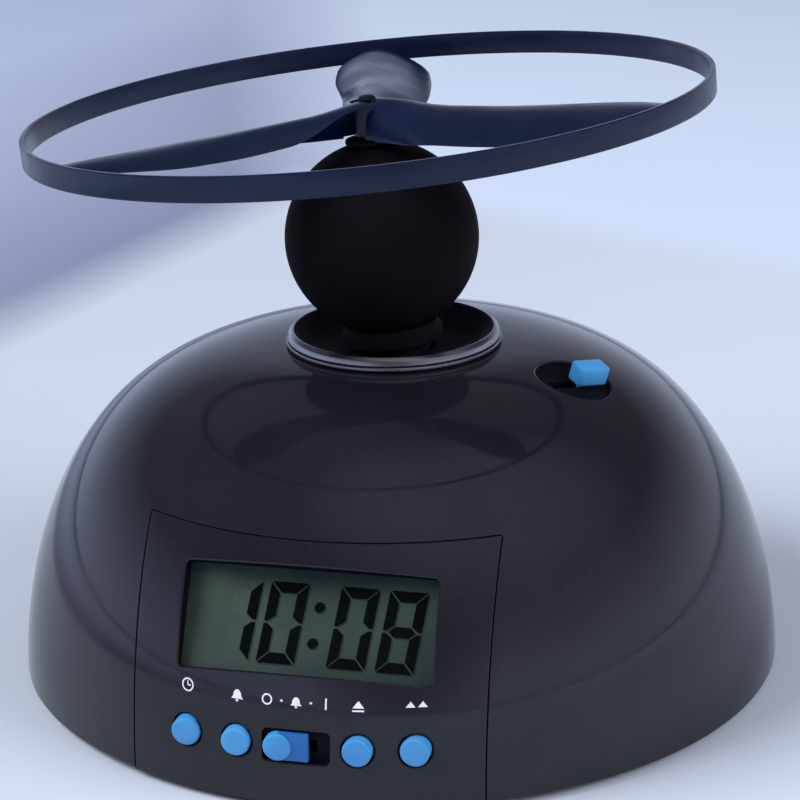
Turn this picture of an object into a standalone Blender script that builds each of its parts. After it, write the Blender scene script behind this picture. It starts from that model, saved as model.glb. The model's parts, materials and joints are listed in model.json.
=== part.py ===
"""Flying alarm clock: a domed base with a digital display, and a leaning launcher head with a ringed rotor.

Front is -Y, up is +Z, and the origin is the centre of the base on the surface that it stands on.
"""
import math

import bpy
import bmesh
from mathutils import Matrix, Vector

MM = 0.001
GAP = 0.3 * MM
SEAM = 0.35 * MM
TURN_STEPS = 60
MIDDLE_STEPS = 36
SMALL_STEPS = 20
TINY_STEPS = 12
BUTTON_STEPS = 16
BALL_STEPS = 24
SPRING_STEPS = 10
SKIN_ARCS = 13
LINING_ARCS = 7
BALL_LINING_ARCS = 9

# Domed housing: a superellipse turned about Z, open at the crown and at the rim
DOME_R = 72.5 * MM
DOME_CURVE_H = 61.9 * MM
DOME_POWER_R = 3.8
DOME_POWER_Z = 1.8
DOME_WALL = 2.2 * MM
RIM_Z = 1.2 * MM
CROWN_HOLE_R = 19.0 * MM
POLE_R = 4.0 * MM

# Front panel and its display window, which leans back with the display
PANEL_WIDTH = 63.0 * MM
PANEL_TOP = 44.5 * MM
LCD_CENTRE_Z = 32.5 * MM
LCD_LEAN = math.radians(28.0)
WINDOW_WIDTH = 45.0 * MM
WINDOW_HEIGHT = 18.2 * MM
WINDOW_FRAME = 2.0 * MM
LCD_DEPTH = 6.4 * MM
LCD_THICK = 2.2 * MM
LCD_MARGIN = 0.5 * MM
HOLDER_THICK = 3.0 * MM
HOLDER_WALL = 1.0 * MM
BOARD_THICK = 1.6 * MM

# Buttons and the alarm switch along the foot of the panel
BUTTON_R = 2.55 * MM
BUTTON_Z = 11.6 * MM
BUTTON_INNER_X = 10.7 * MM
BUTTON_OUTER_X = 20.3 * MM
BUTTON_PROUD = 1.2 * MM
BUTTON_TRAVEL = 0.5 * MM
BUTTON_FLANGE = 0.9 * MM
BUTTON_STEM_R = 1.2 * MM
BUTTON_CLEAR = 0.35 * MM
TACT_SIZE = 6.0 * MM
TACT_HEIGHT = 3.5 * MM
TACT_PLUNGER = 1.2 * MM
BUTTON_BOARD_DEPTH = 15.0 * MM
BUTTON_BOARD_WIDTH = 54.0 * MM
BUTTON_BOARD_TOP = 17.5 * MM
KNOB_LENGTH = 8.0 * MM
KNOB_HEIGHT = 5.1 * MM
KNOB_PROUD = 0.4 * MM
KNOB_GRIP_PROUD = 0.9 * MM
SLIDE_TRAVEL = 3.4 * MM
SLIDE_POCKET = 1.2 * MM
STEM_LENGTH = 3.0 * MM
STEM_WIDTH = 1.6 * MM
SWITCH_LENGTH = 12.6 * MM
SWITCH_WIDTH = 5.6 * MM
SWITCH_HEIGHT = 6.4 * MM
SWITCH_GROOVE = 1.6 * MM

# Launch knob in its round pocket, high on the right-hand side of the dome
LAUNCH_AZIMUTH = math.radians(-13.4)
LAUNCH_R = 37.1 * MM
LAUNCH_TURN = math.radians(-31.3)
LAUNCH_TRAVEL = 6.2 * MM
LAUNCH_POCKET_R = 7.1 * MM
LAUNCH_POCKET_DEPTH = 1.3 * MM
LAUNCH_LENGTH = 6.4 * MM
LAUNCH_WIDTH = 3.8 * MM
LAUNCH_PROUD = 2.8 * MM
LAUNCH_SKIN_ROOM = 1.2 * MM
SLOPE_STEP = 1.0 * MM

# Crater collar: a grooved lip round a shallow dish
COLLAR_OVERLAP = 1.3 * MM
COLLAR_RIM = 2.8 * MM
COLLAR_LIP_RISE = 2.0 * MM
COLLAR_DISH = 2.7 * MM
COLLAR_FLOOR_R = 11.0 * MM
COLLAR_THICK = 1.8 * MM

# Launcher head, whose axis leans from the pivot in the collar's floor
HEAD_LEAN = math.radians(5.1)
HEAD_LEAN_AZIMUTH = math.radians(172.0)
NECK_R = 7.0 * MM
NECK_BORE_R = 4.5 * MM
NECK_CLEAR = 0.6 * MM
NECK_SHOULDER_R = 9.5 * MM
NECK_FLANGE_THICK = 2.4 * MM
NECK_TOP_FLANGE_R = 8.8 * MM
NECK_TOP_FLANGE_THICK = 1.0 * MM
NECK_SAUCER_DRAW = 1.0 * MM
BALL_R = 18.1 * MM
BALL_RISE = 21.6 * MM
BALL_WALL = 1.6 * MM
RIB_THICK = 1.5 * MM
MOTOR_R = 9.0 * MM
MOTOR_LENGTH = 20.0 * MM
MOTOR_SHAFT_R = 1.0 * MM
MOTOR_SHAFT_LENGTH = 3.0 * MM
BUSH_R = 4.8 * MM
BUSH_SLEEVE_R = 3.4 * MM
BUSH_LENGTH = 3.0 * MM
BUSH_FLANGE_THICK = 0.9 * MM
SPINDLE_R = 1.6 * MM
SPINDLE_CLEAR = 0.35 * MM
DRIVE_SIDE = 2.4 * MM
DRIVE_LENGTH = 3.6 * MM

# Rotor: hub, three twisted paddles and a thin outer band
RING_RISE = 5.2 * MM
RING_R = 63.7 * MM
RING_WALL = 1.0 * MM
RING_HEIGHT = 4.5 * MM
HUB_R = 2.8 * MM
HUB_LENGTH = 6.4 * MM
CAP_R = 1.65 * MM
CAP_HEIGHT = 0.9 * MM
CAP_STEM_R = 0.8 * MM
CAP_STEM_LENGTH = 1.6 * MM
ROTOR_PHASE = math.radians(103.0)
BLADE_COUNT = 3
BLADE_ROOT_RISE = 2.6 * MM
BLADE_THICK = 1.3 * MM
BLADE_CAMBER = 2.4 * MM
BLADE_ROOT_PITCH = math.radians(45.0)
BLADE_PITCH = math.radians(5.0)
BLADE_TWIST_R = 9.0 * MM
BLADE_TWIST_POWER = 2.0
BLADE_RISE_POWER = 2.6
BLADE_SWEEP = 1.5 * MM
CUFF_R = 5.0 * MM
CUFF_CHORD = 7.2 * MM
BLADE_WIDEST_R = 14.0 * MM
BLADE_CHORD = 20.5 * MM
TIP_CHORD = 7.0 * MM
TIP_TAPER_POWER = 6.0
BLADE_STATIONS = 16
BLADE_SIDES = 8

# Underside: base plate, battery bay, door, feet and speaker
BASE_THICK = 2.0 * MM
FOOT_R = 5.0 * MM
FOOT_INSET = 9.6 * MM
FOOT_POCKET = 0.7 * MM
BOSS_R = 3.4 * MM
BOSS_INSET = 9.6 * MM
SCREW_HOLE_R = 1.6 * MM
SCREW_LENGTH = 12.0 * MM
SCREW_HEAD_R = 3.0 * MM
CELL_R = 5.25 * MM
CELL_LENGTH = 44.5 * MM
CELL_COUNT = 4
CELL_PITCH = 11.0 * MM
CELL_NUB_R = 1.9 * MM
CELL_NUB = 0.8 * MM
CONTACT_ROOM = 2.9 * MM
CONTACT_THICK = 0.8 * MM
BAY_WALL = 1.6 * MM
DOOR_TAB = 2.0 * MM
DOOR_TAB_THICK = 0.8 * MM
DOOR_TAB_WIDTH = 6.0 * MM
LATCH_WIDTH = 10.0 * MM
LATCH_ROOT = 1.0 * MM
SPEAKER_R = 14.0 * MM
SPEAKER_SPACE = 3.6 * MM
SPEAKER_FRAME = 4.6 * MM
MAGNET_R = 7.5 * MM
MAGNET_HEIGHT = 4.0 * MM
SPEAKER_BOSS = 1.4 * MM
SPEAKER_SLOTS = 5
SPEAKER_STEPS = 28

FINISHES = {
    "gloss_black": ((0.012, 0.011, 0.016), 0.10, 0.0),
    "panel_black": ((0.010, 0.010, 0.013), 0.07, 0.0),
    "matt_black": ((0.010, 0.009, 0.011), 0.62, 0.0),
    "rotor_black": ((0.022, 0.025, 0.036), 0.34, 0.0),
    "button_blue": ((0.075, 0.30, 0.78), 0.38, 0.0),
    "display_grey": ((0.085, 0.115, 0.095), 0.25, 0.0),
    "inner_plastic": ((0.62, 0.62, 0.60), 0.50, 0.0),
    "board_green": ((0.02, 0.12, 0.05), 0.45, 0.0),
    "steel": ((0.62, 0.62, 0.64), 0.28, 1.0),
    "rubber": ((0.02, 0.02, 0.02), 0.85, 0.0),
    "cell_jacket": ((0.10, 0.10, 0.12), 0.35, 0.2),
}


def clear_scene():
    """Removes every object that the scene starts with."""
    for thing in list(bpy.data.objects):
        bpy.data.objects.remove(thing, do_unlink=True)


def finish(name):
    """The material called name, made once."""
    made = bpy.data.materials.get(name)
    if made:
        return made
    colour, roughness, metallic = FINISHES[name]
    made = bpy.data.materials.new(name)
    made.use_nodes = True
    shader = made.node_tree.nodes["Principled BSDF"]
    shader.inputs["Base Color"].default_value = (*colour, 1.0)
    shader.inputs["Roughness"].default_value = roughness
    shader.inputs["Metallic"].default_value = metallic
    made.diffuse_color = (*colour, 1.0)
    return made


def add_object(name, form, look, place=None, parent=None):
    """Turns a bmesh into an object with outward faces."""
    bmesh.ops.recalc_face_normals(form, faces=form.faces)
    mesh = bpy.data.meshes.new(name)
    form.to_mesh(mesh)
    form.free()
    thing = bpy.data.objects.new(name, mesh)
    bpy.context.scene.collection.objects.link(thing)
    mesh.materials.append(finish(look))
    thing.parent = parent
    thing.matrix_local = place or Matrix.Identity(4)
    return thing


def turned(name, outline, look, steps=SMALL_STEPS, place=None, parent=None):
    """Turns a closed outline of (radius, height) points about Z. A radius of 0 makes a pole."""
    form = bmesh.new()
    rings = []
    for radius, height in outline:
        if radius <= 0.0:
            rings.append([form.verts.new((0.0, 0.0, height))])
            continue
        angles = [2.0 * math.pi * step / steps for step in range(steps)]
        rings.append([form.verts.new((radius * math.cos(a), radius * math.sin(a), height)) for a in angles])
    for ring, following in zip(rings, rings[1:] + rings[:1]):
        if len(ring) == 1 and len(following) == 1:
            continue
        for step in range(steps):
            after = (step + 1) % steps
            corners = [ring[0]] if len(ring) == 1 else [ring[step], ring[after]]
            corners += [following[0]] if len(following) == 1 else [following[after], following[step]]
            form.faces.new(corners)
    return add_object(name, form, look, place, parent)


def rod(name, radius, low, high, look, steps=SMALL_STEPS, place=None, parent=None):
    """A plain cylinder about Z."""
    outline = [(0.0, low), (radius, low), (radius, high), (0.0, high)]
    return turned(name, outline, look, steps, place, parent)


def block(name, low, high, look, place=None, parent=None, bevel=0.0, bevel_steps=2):
    """A box between two corners, with its edges rounded by bevel."""
    form = bmesh.new()
    size = [b - a for a, b in zip(low, high)]
    centre = [(a + b) / 2.0 for a, b in zip(low, high)]
    bmesh.ops.create_cube(form, size=1.0, matrix=Matrix.Translation(centre) @ Matrix.Diagonal((*size, 1.0)))
    if bevel:
        bmesh.ops.bevel(form, geom=list(form.edges), offset=bevel, segments=bevel_steps, profile=0.5,
                        affect="EDGES")
    return add_object(name, form, look, place, parent)


def shape_by(target, tool, how):
    """Applies a boolean to target. The tool is used up."""
    change = target.modifiers.new(how, "BOOLEAN")
    change.operation = how
    change.object = tool
    graph = bpy.context.evaluated_depsgraph_get()
    shaped = bpy.data.meshes.new_from_object(target.evaluated_get(graph))
    target.modifiers.clear()
    target.data = shaped
    bpy.data.objects.remove(tool, do_unlink=True)
    return target


def cut(target, tool):
    return shape_by(target, tool, "DIFFERENCE")


def join(target, tool):
    return shape_by(target, tool, "UNION")


def keep_inside(target, tool):
    return shape_by(target, tool, "INTERSECT")


def soften(angle=34.0):
    """Shades every piece smooth, except across its real edges."""
    for thing in bpy.data.objects:
        if thing.type == "MESH":
            thing.data.shade_smooth()
            thing.data.set_sharp_from_angle(angle=math.radians(angle))


# Dome curve: (r / R) ** power_r + (z / H) ** power_z = 1, drawn in by inset

def dome_radius(z, inset=0.0):
    share = 1.0 - (max(z, 0.0) / (DOME_CURVE_H - inset)) ** DOME_POWER_Z
    return (DOME_R - inset) * max(share, 0.0) ** (1.0 / DOME_POWER_R)


def dome_height(radius, inset=0.0):
    share = 1.0 - (radius / (DOME_R - inset)) ** DOME_POWER_R
    return (DOME_CURVE_H - inset) * max(share, 0.0) ** (1.0 / DOME_POWER_Z)


def dome_front(x, z, inset=0.0):
    """Distance of the dome's skin in front of the XZ plane."""
    return math.sqrt(dome_radius(z, inset) ** 2 - x ** 2)


def dome_curve(low, end_radius, steps, inset=0.0):
    """Points of the curve from height low up to end_radius."""
    tall = DOME_CURVE_H - inset
    wide = DOME_R - inset
    first = math.asin((low / tall) ** (DOME_POWER_Z / 2.0))
    last = math.acos((end_radius / wide) ** (DOME_POWER_R / 2.0))
    points = []
    for step in range(steps + 1):
        angle = first + (last - first) * step / steps
        points.append((wide * math.cos(angle) ** (2.0 / DOME_POWER_R),
                       tall * math.sin(angle) ** (2.0 / DOME_POWER_Z)))
    return points


def dome_solid(name, inset=0.0, steps=SKIN_ARCS, low=RIM_Z):
    """The whole dome as a solid, for cutting and keeping."""
    curve = dome_curve(low, POLE_R, steps, inset)
    return turned(name, [(0.0, low), *curve, (0.0, curve[-1][1])], "gloss_black", TURN_STEPS)


# Places of the leaning display, the launch knob and the head

LCD_PLACE = (Matrix.Translation((0.0, -dome_radius(LCD_CENTRE_Z), LCD_CENTRE_Z))
             @ Matrix.Rotation(math.pi / 2.0 - LCD_LEAN, 4, "X"))
FRONT_PLACE = Matrix.Rotation(math.pi / 2.0, 4, "X")


def launch_place():
    """Frame on the dome's skin: X along the slide, to the right and back, Z out of the skin."""
    rise = dome_height(LAUNCH_R - SLOPE_STEP) - dome_height(LAUNCH_R + SLOPE_STEP)
    lean = math.atan2(rise, 2.0 * SLOPE_STEP)
    outward = Vector((math.cos(LAUNCH_AZIMUTH), math.sin(LAUNCH_AZIMUTH), 0.0))
    along = Vector((-outward.y, outward.x, 0.0))
    normal = outward * math.sin(lean) + Vector((0.0, 0.0, math.cos(lean)))
    across = normal.cross(along)
    turn = Matrix((along, across, normal)).transposed().to_4x4()
    origin = outward * LAUNCH_R + Vector((0.0, 0.0, dome_height(LAUNCH_R)))
    return Matrix.Translation(origin) @ turn @ Matrix.Rotation(LAUNCH_TURN, 4, "Z")


COLLAR_R = CROWN_HOLE_R + COLLAR_OVERLAP
COLLAR_LIP_R = COLLAR_R - COLLAR_RIM
COLLAR_LIP_Z = dome_height(CROWN_HOLE_R) + COLLAR_LIP_RISE
COLLAR_FLOOR_Z = COLLAR_LIP_Z - COLLAR_DISH
COLLAR_UNDER_Z = COLLAR_FLOOR_Z - COLLAR_THICK
PIVOT_Z = (COLLAR_FLOOR_Z + COLLAR_UNDER_Z) / 2.0


def head_axis():
    """Empty at the pivot, whose Z is the leaning axis of the head."""
    axis = bpy.data.objects.new("head_axis", None)
    bpy.context.scene.collection.objects.link(axis)
    lean_axis = Vector((-math.sin(HEAD_LEAN_AZIMUTH), math.cos(HEAD_LEAN_AZIMUTH), 0.0))
    axis.matrix_world = Matrix.Translation((0.0, 0.0, PIVOT_Z)) @ Matrix.Rotation(HEAD_LEAN, 4, lean_axis)
    return axis


# Underside levels and the battery bay
BASE_TOP = RIM_Z + BASE_THICK
PLATE_R = dome_radius(BASE_TOP, DOME_WALL) - 2.0 * GAP
FOOT_CIRCLE_R = PLATE_R - FOOT_INSET
BOSS_CIRCLE_R = PLATE_R - BOSS_INSET
CELL_Z = BASE_TOP + GAP + CELL_R
BAY_HALF_X = (CELL_COUNT - 1) / 2.0 * CELL_PITCH + CELL_R + 2.0 * GAP
BAY_HALF_Y = CELL_LENGTH / 2.0 + CONTACT_ROOM
BAY_CEILING = CELL_Z + CELL_R + 2.0 * GAP
SPEAKER_Y = BAY_HALF_Y + BAY_WALL + SPEAKER_SPACE + SPEAKER_BOSS + GAP + SPEAKER_R
CELL_XS = [(index - (CELL_COUNT - 1) / 2.0) * CELL_PITCH for index in range(CELL_COUNT)]
TAB_XS = (-BAY_HALF_X / 2.0, BAY_HALF_X / 2.0)
TAB_HALF_X = DOOR_TAB_WIDTH / 2.0
LATCH_HALF_X = LATCH_WIDTH / 2.0
FOOT_ANGLES = [math.radians(a) for a in (60.0, 120.0, 240.0, 300.0)]
BOSS_ANGLES = [math.radians(a) for a in (25.0, 155.0, 205.0, 335.0)]

BUTTONS = {
    "time_button": -BUTTON_OUTER_X,
    "alarm_button": -BUTTON_INNER_X,
    "hour_button": BUTTON_INNER_X,
    "minute_button": BUTTON_OUTER_X,
}
BUTTON_BOARD_FRONT = dome_radius(BUTTON_Z) - BUTTON_BOARD_DEPTH
TACT_FRONT = BUTTON_BOARD_FRONT + GAP + TACT_HEIGHT + TACT_PLUNGER


def circle_spot(radius, angle):
    return Matrix.Translation((radius * math.cos(angle), radius * math.sin(angle), 0.0))


def upper_shell():
    outer = dome_curve(RIM_Z, CROWN_HOLE_R, SKIN_ARCS)
    inner = dome_curve(RIM_Z, CROWN_HOLE_R, LINING_ARCS, DOME_WALL)
    shell = turned("upper_shell", outer + inner[::-1], "gloss_black", TURN_STEPS)
    for angle in BOSS_ANGLES:
        boss = rod("boss", BOSS_R, BASE_TOP + GAP, DOME_CURVE_H, "gloss_black", TINY_STEPS,
                   circle_spot(BOSS_CIRCLE_R, angle))
        keep_inside(boss, dome_solid("boss_limit", DOME_WALL / 2.0, LINING_ARCS))
        cut(boss, rod("pilot", SCREW_HOLE_R, 0.0, BASE_TOP + SCREW_LENGTH, "gloss_black", TINY_STEPS,
                      circle_spot(BOSS_CIRCLE_R, angle)))
        join(shell, boss)
    half = PANEL_WIDTH / 2.0 + SEAM
    cut(shell, block("panel_opening", (-half, -2.0 * DOME_R, -RIM_Z), (half, -DOME_R / 3.0, PANEL_TOP),
                     "gloss_black"))
    cut_launch_pocket(shell)
    return shell


def cut_launch_pocket(shell):
    """Shallow round pocket that the launch knob slides across, with a slot through its floor."""
    place = launch_place()
    cut(shell, rod("pocket", LAUNCH_POCKET_R, -LAUNCH_POCKET_DEPTH, LAUNCH_PROUD, "gloss_black",
                   SMALL_STEPS, place))
    slot = (STEM_LENGTH + LAUNCH_TRAVEL) / 2.0 + GAP
    cut(shell, block("slot", (-slot, -STEM_WIDTH / 2.0 - GAP, -3.0 * DOME_WALL),
                     (slot, STEM_WIDTH / 2.0 + GAP, 0.0), "gloss_black", place))


def front_panel():
    half = PANEL_WIDTH / 2.0
    frame_x = WINDOW_WIDTH / 2.0 + WINDOW_FRAME
    frame_y = WINDOW_HEIGHT / 2.0 + WINDOW_FRAME
    panel = dome_solid("front_panel")
    keep_inside(panel, block("panel_limit", (-half, -2.0 * DOME_R, -RIM_Z),
                             (half, -DOME_R / 3.0, PANEL_TOP - SEAM), "gloss_black"))
    hollow = dome_solid("hollow", DOME_WALL, LINING_ARCS, RIM_Z / 2.0)
    cut(hollow, block("frame", (-frame_x, -frame_y, -LCD_DEPTH), (frame_x, frame_y, LCD_DEPTH),
                      "gloss_black", LCD_PLACE))
    cut(panel, hollow)
    cut(panel, block("window", (-WINDOW_WIDTH / 2.0, -WINDOW_HEIGHT / 2.0, -2.0 * LCD_DEPTH),
                     (WINDOW_WIDTH / 2.0, WINDOW_HEIGHT / 2.0, 2.0 * LCD_DEPTH), "gloss_black", LCD_PLACE))
    stack_x = holder_half_x() + GAP
    stack_y = holder_half_y() + GAP
    stack_front = -LCD_DEPTH - GAP / 2.0
    cut(panel, block("stack_room", (-stack_x, -stack_y, -6.0 * LCD_DEPTH), (stack_x, stack_y, stack_front),
                     "gloss_black", LCD_PLACE))
    for x in BUTTONS.values():
        cut(panel, rod("button_hole", BUTTON_R + BUTTON_CLEAR, BUTTON_BOARD_FRONT, 2.0 * DOME_R,
                       "gloss_black", SMALL_STEPS, Matrix.Translation((x, 0.0, BUTTON_Z)) @ FRONT_PLACE))
    cut_slide_pocket(panel)
    panel.data.materials[0] = finish("panel_black")
    return panel


def cut_slide_pocket(panel):
    """Pocket and through slot for the alarm switch's knob."""
    place = Matrix.Translation((0.0, 0.0, BUTTON_Z)) @ FRONT_PLACE
    floor = slide_floor()
    half = (KNOB_LENGTH + SLIDE_TRAVEL) / 2.0 + GAP
    wide = KNOB_HEIGHT / 2.0 + GAP
    cut(panel, block("slide_pocket", (-half, -wide, floor), (half, wide, 2.0 * DOME_R), "gloss_black",
                     place))
    slot = (STEM_LENGTH + SLIDE_TRAVEL) / 2.0 + GAP
    cut(panel, block("slide_slot", (-slot, -STEM_WIDTH / 2.0 - GAP, BUTTON_BOARD_FRONT),
                     (slot, STEM_WIDTH / 2.0 + GAP, DOME_R), "gloss_black", place))


def slide_floor():
    return dome_front(0.0, BUTTON_Z) - SLIDE_POCKET


def holder_half_x():
    return WINDOW_WIDTH / 2.0 + LCD_MARGIN + HOLDER_WALL / 2.0


def holder_half_y():
    return WINDOW_HEIGHT / 2.0 + LCD_MARGIN + HOLDER_WALL / 2.0


def display_stack():
    """Display glass, its holder and the main board, one behind the other."""
    glass_x = WINDOW_WIDTH / 2.0 + LCD_MARGIN
    glass_y = WINDOW_HEIGHT / 2.0 + LCD_MARGIN
    front = -LCD_DEPTH - GAP
    back = front - LCD_THICK
    block("display_glass", (-glass_x, -glass_y, back), (glass_x, glass_y, front), "display_grey", LCD_PLACE)
    half_x = holder_half_x()
    half_y = holder_half_y()
    holder_front = back - GAP
    holder_back = holder_front - HOLDER_THICK
    holder = block("display_holder", (-half_x, -half_y, holder_back), (half_x, half_y, holder_front),
                   "inner_plastic", LCD_PLACE)
    inner_x = half_x - 2.0 * HOLDER_WALL
    inner_y = half_y - 2.0 * HOLDER_WALL
    cut(holder, block("holder_window", (-inner_x, -inner_y, 2.0 * holder_back), (inner_x, inner_y, 0.0),
                      "inner_plastic", LCD_PLACE))
    board_front = holder_back - GAP
    block("display_board", (-half_x, -half_y, board_front - BOARD_THICK), (half_x, half_y, board_front),
          "board_green", LCD_PLACE)


def button_board():
    half = BUTTON_BOARD_WIDTH / 2.0
    block("button_board", (-half, BASE_TOP + GAP, BUTTON_BOARD_FRONT - BOARD_THICK),
          (half, BUTTON_BOARD_TOP, BUTTON_BOARD_FRONT), "board_green", FRONT_PLACE)


def button(name, x):
    """Domed button with a retaining flange behind the panel and a stem towards its switch."""
    flange_r = BUTTON_R + BUTTON_FLANGE
    skin = dome_front(x, BUTTON_Z)
    front = skin + BUTTON_PROUD
    flange_front = dome_front(abs(x) + flange_r, BUTTON_Z + flange_r, DOME_WALL) - GAP
    flange_back = flange_front - BUTTON_FLANGE
    stem_end = TACT_FRONT + BUTTON_TRAVEL + GAP / 2.0
    edge = BUTTON_R / 5.0
    outline = [(0.0, stem_end), (BUTTON_STEM_R, stem_end), (BUTTON_STEM_R, flange_back),
               (flange_r, flange_back), (flange_r, flange_front), (BUTTON_R, flange_front),
               (BUTTON_R, front - edge), (BUTTON_R - 0.3 * edge, front - 0.45 * edge),
               (BUTTON_R - edge, front - 0.15 * edge), (0.0, front)]
    place = Matrix.Translation((x, 0.0, BUTTON_Z)) @ FRONT_PLACE
    turned(name, outline, "button_blue", BUTTON_STEPS, place)


def tact_switch(name, x):
    place = Matrix.Translation((x, 0.0, BUTTON_Z)) @ FRONT_PLACE
    half = TACT_SIZE / 2.0
    low = BUTTON_BOARD_FRONT + GAP
    switch = block(name, (-half, -half, low), (half, half, low + TACT_HEIGHT), "steel", place)
    join(switch, rod("plunger", BUTTON_STEM_R, low + TACT_HEIGHT / 2.0, TACT_FRONT, "steel", TINY_STEPS,
                     place))


def alarm_switch():
    """Slide switch body behind the panel, and its knob in the pocket, resting at its left-hand place."""
    place = Matrix.Translation((0.0, 0.0, BUTTON_Z)) @ FRONT_PLACE
    low = BUTTON_BOARD_FRONT + GAP
    high = low + SWITCH_HEIGHT
    body = block("alarm_switch_body", (-SWITCH_LENGTH / 2.0, -SWITCH_WIDTH / 2.0, low),
                 (SWITCH_LENGTH / 2.0, SWITCH_WIDTH / 2.0, high), "steel", place)
    groove = (STEM_LENGTH + SLIDE_TRAVEL) / 2.0 + GAP
    cut(body, block("groove", (-groove, -STEM_WIDTH / 2.0 - GAP, high - SWITCH_GROOVE),
                    (groove, STEM_WIDTH / 2.0 + GAP, high + GAP), "steel", place))
    rest = place @ Matrix.Translation((-SLIDE_TRAVEL / 2.0, 0.0, 0.0))
    skin = dome_front(0.0, BUTTON_Z)
    base = slide_floor() + GAP
    knob = block("alarm_switch_knob", (-KNOB_LENGTH / 2.0, -KNOB_HEIGHT / 2.0, base),
                 (KNOB_LENGTH / 2.0, KNOB_HEIGHT / 2.0, skin + KNOB_PROUD), "button_blue", rest)
    grip_r = KNOB_HEIGHT / 2.0
    grip_top = skin + KNOB_GRIP_PROUD
    outline = [(0.0, base + GAP), (grip_r - GAP, base + GAP), (grip_r - GAP, grip_top - grip_r / 5.0),
               (grip_r - grip_r / 4.0, grip_top), (0.0, grip_top)]
    join(knob, turned("grip", outline, "button_blue", SMALL_STEPS,
                      rest @ Matrix.Translation((grip_r - KNOB_LENGTH / 2.0, 0.0, 0.0))))
    join(knob, block("stem", (-STEM_LENGTH / 2.0, -STEM_WIDTH / 2.0, high - SWITCH_GROOVE + GAP),
                     (STEM_LENGTH / 2.0, STEM_WIDTH / 2.0, base + GAP), "button_blue", rest))


def launch_switch():
    """Launch knob at the far side of its pocket, and the switch under the skin that it works."""
    place = launch_place()
    rest = place @ Matrix.Translation((LAUNCH_TRAVEL / 2.0, 0.0, 0.0))
    base = GAP - LAUNCH_POCKET_DEPTH
    knob = block("launch_knob", (-LAUNCH_LENGTH / 2.0, -LAUNCH_WIDTH / 2.0, base),
                 (LAUNCH_LENGTH / 2.0, LAUNCH_WIDTH / 2.0, LAUNCH_PROUD), "button_blue", rest,
                 bevel=2.0 * GAP)
    body_top = -DOME_WALL - LAUNCH_SKIN_ROOM
    join(knob, block("stem", (-STEM_LENGTH / 2.0, -STEM_WIDTH / 2.0, body_top - SWITCH_GROOVE + GAP),
                     (STEM_LENGTH / 2.0, STEM_WIDTH / 2.0, base + 3.0 * GAP), "button_blue", rest))
    half = (STEM_LENGTH + LAUNCH_TRAVEL) / 2.0 + GAP
    body = block("launch_switch_body", (-half - BAY_WALL, -SWITCH_WIDTH / 2.0, body_top - SWITCH_HEIGHT),
                 (half + BAY_WALL, SWITCH_WIDTH / 2.0, body_top), "steel", place)
    cut(body, block("groove", (-half, -STEM_WIDTH / 2.0 - GAP, body_top - SWITCH_GROOVE),
                    (half, STEM_WIDTH / 2.0 + GAP, body_top + GAP), "steel", place))


def socket_collar():
    """Grooved lip that stands on the crown, with the dish and its floor hole inside it."""
    seat = dome_height(CROWN_HOLE_R) + GAP
    skirt = CROWN_HOLE_R - GAP
    step = (COLLAR_LIP_Z - seat) / 4.0
    rim = COLLAR_R - COLLAR_LIP_R
    hole = NECK_R + NECK_CLEAR
    dish = COLLAR_LIP_Z - COLLAR_FLOOR_Z
    fall = COLLAR_LIP_R - COLLAR_FLOOR_R
    outline = [(skirt, seat), (COLLAR_R, seat), (COLLAR_R, seat + 0.8 * step),
               (COLLAR_R - 0.15 * rim, seat + 1.5 * step), (COLLAR_R - 0.45 * rim, seat + 1.95 * step),
               (COLLAR_R - 0.75 * rim, seat + 1.9 * step), (COLLAR_R - 0.72 * rim, seat + 2.7 * step),
               (COLLAR_R - 0.8 * rim, seat + 3.5 * step), (COLLAR_R - rim, COLLAR_LIP_Z)]
    for part in (0.15, 0.4, 0.7, 1.0):
        outline.append((COLLAR_LIP_R - fall * part, COLLAR_FLOOR_Z + dish * (1.0 - part) ** 2.2))
    outline += [(hole, COLLAR_FLOOR_Z), (hole, COLLAR_UNDER_Z), (skirt - COLLAR_THICK, COLLAR_UNDER_Z),
                (skirt, COLLAR_UNDER_Z + COLLAR_THICK / 2.0)]
    turned("socket_collar", outline, "gloss_black", MIDDLE_STEPS)


# Launcher head, in the frame of its leaning axis

BALL_W = BALL_RISE / math.cos(HEAD_LEAN)
FLOOR_HALF = COLLAR_THICK / 2.0
ROCK_ROOM = NECK_SHOULDER_R * math.tan(HEAD_LEAN) + GAP
MOTOR_LOW = BALL_W - MOTOR_LENGTH / 2.0
MOTOR_HIGH = BALL_W + MOTOR_LENGTH / 2.0
BALL_HOLE_LOW_R = NECK_R + GAP
BALL_HOLE_TOP_R = BUSH_SLEEVE_R + GAP


def ball_drop(radius, ball_radius=BALL_R):
    """Distance from the ball's centre level to its skin at a radius from the axis."""
    return math.sqrt(ball_radius ** 2 - radius ** 2)


BUSH_SEAT = BALL_W + ball_drop(BALL_HOLE_TOP_R) + GAP
BUSH_TOP = BUSH_SEAT + BUSH_FLANGE_THICK
HUB_LOW = BUSH_TOP + GAP
HUB_TOP = HUB_LOW + HUB_LENGTH
RING_W = HUB_LOW + RING_RISE


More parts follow.
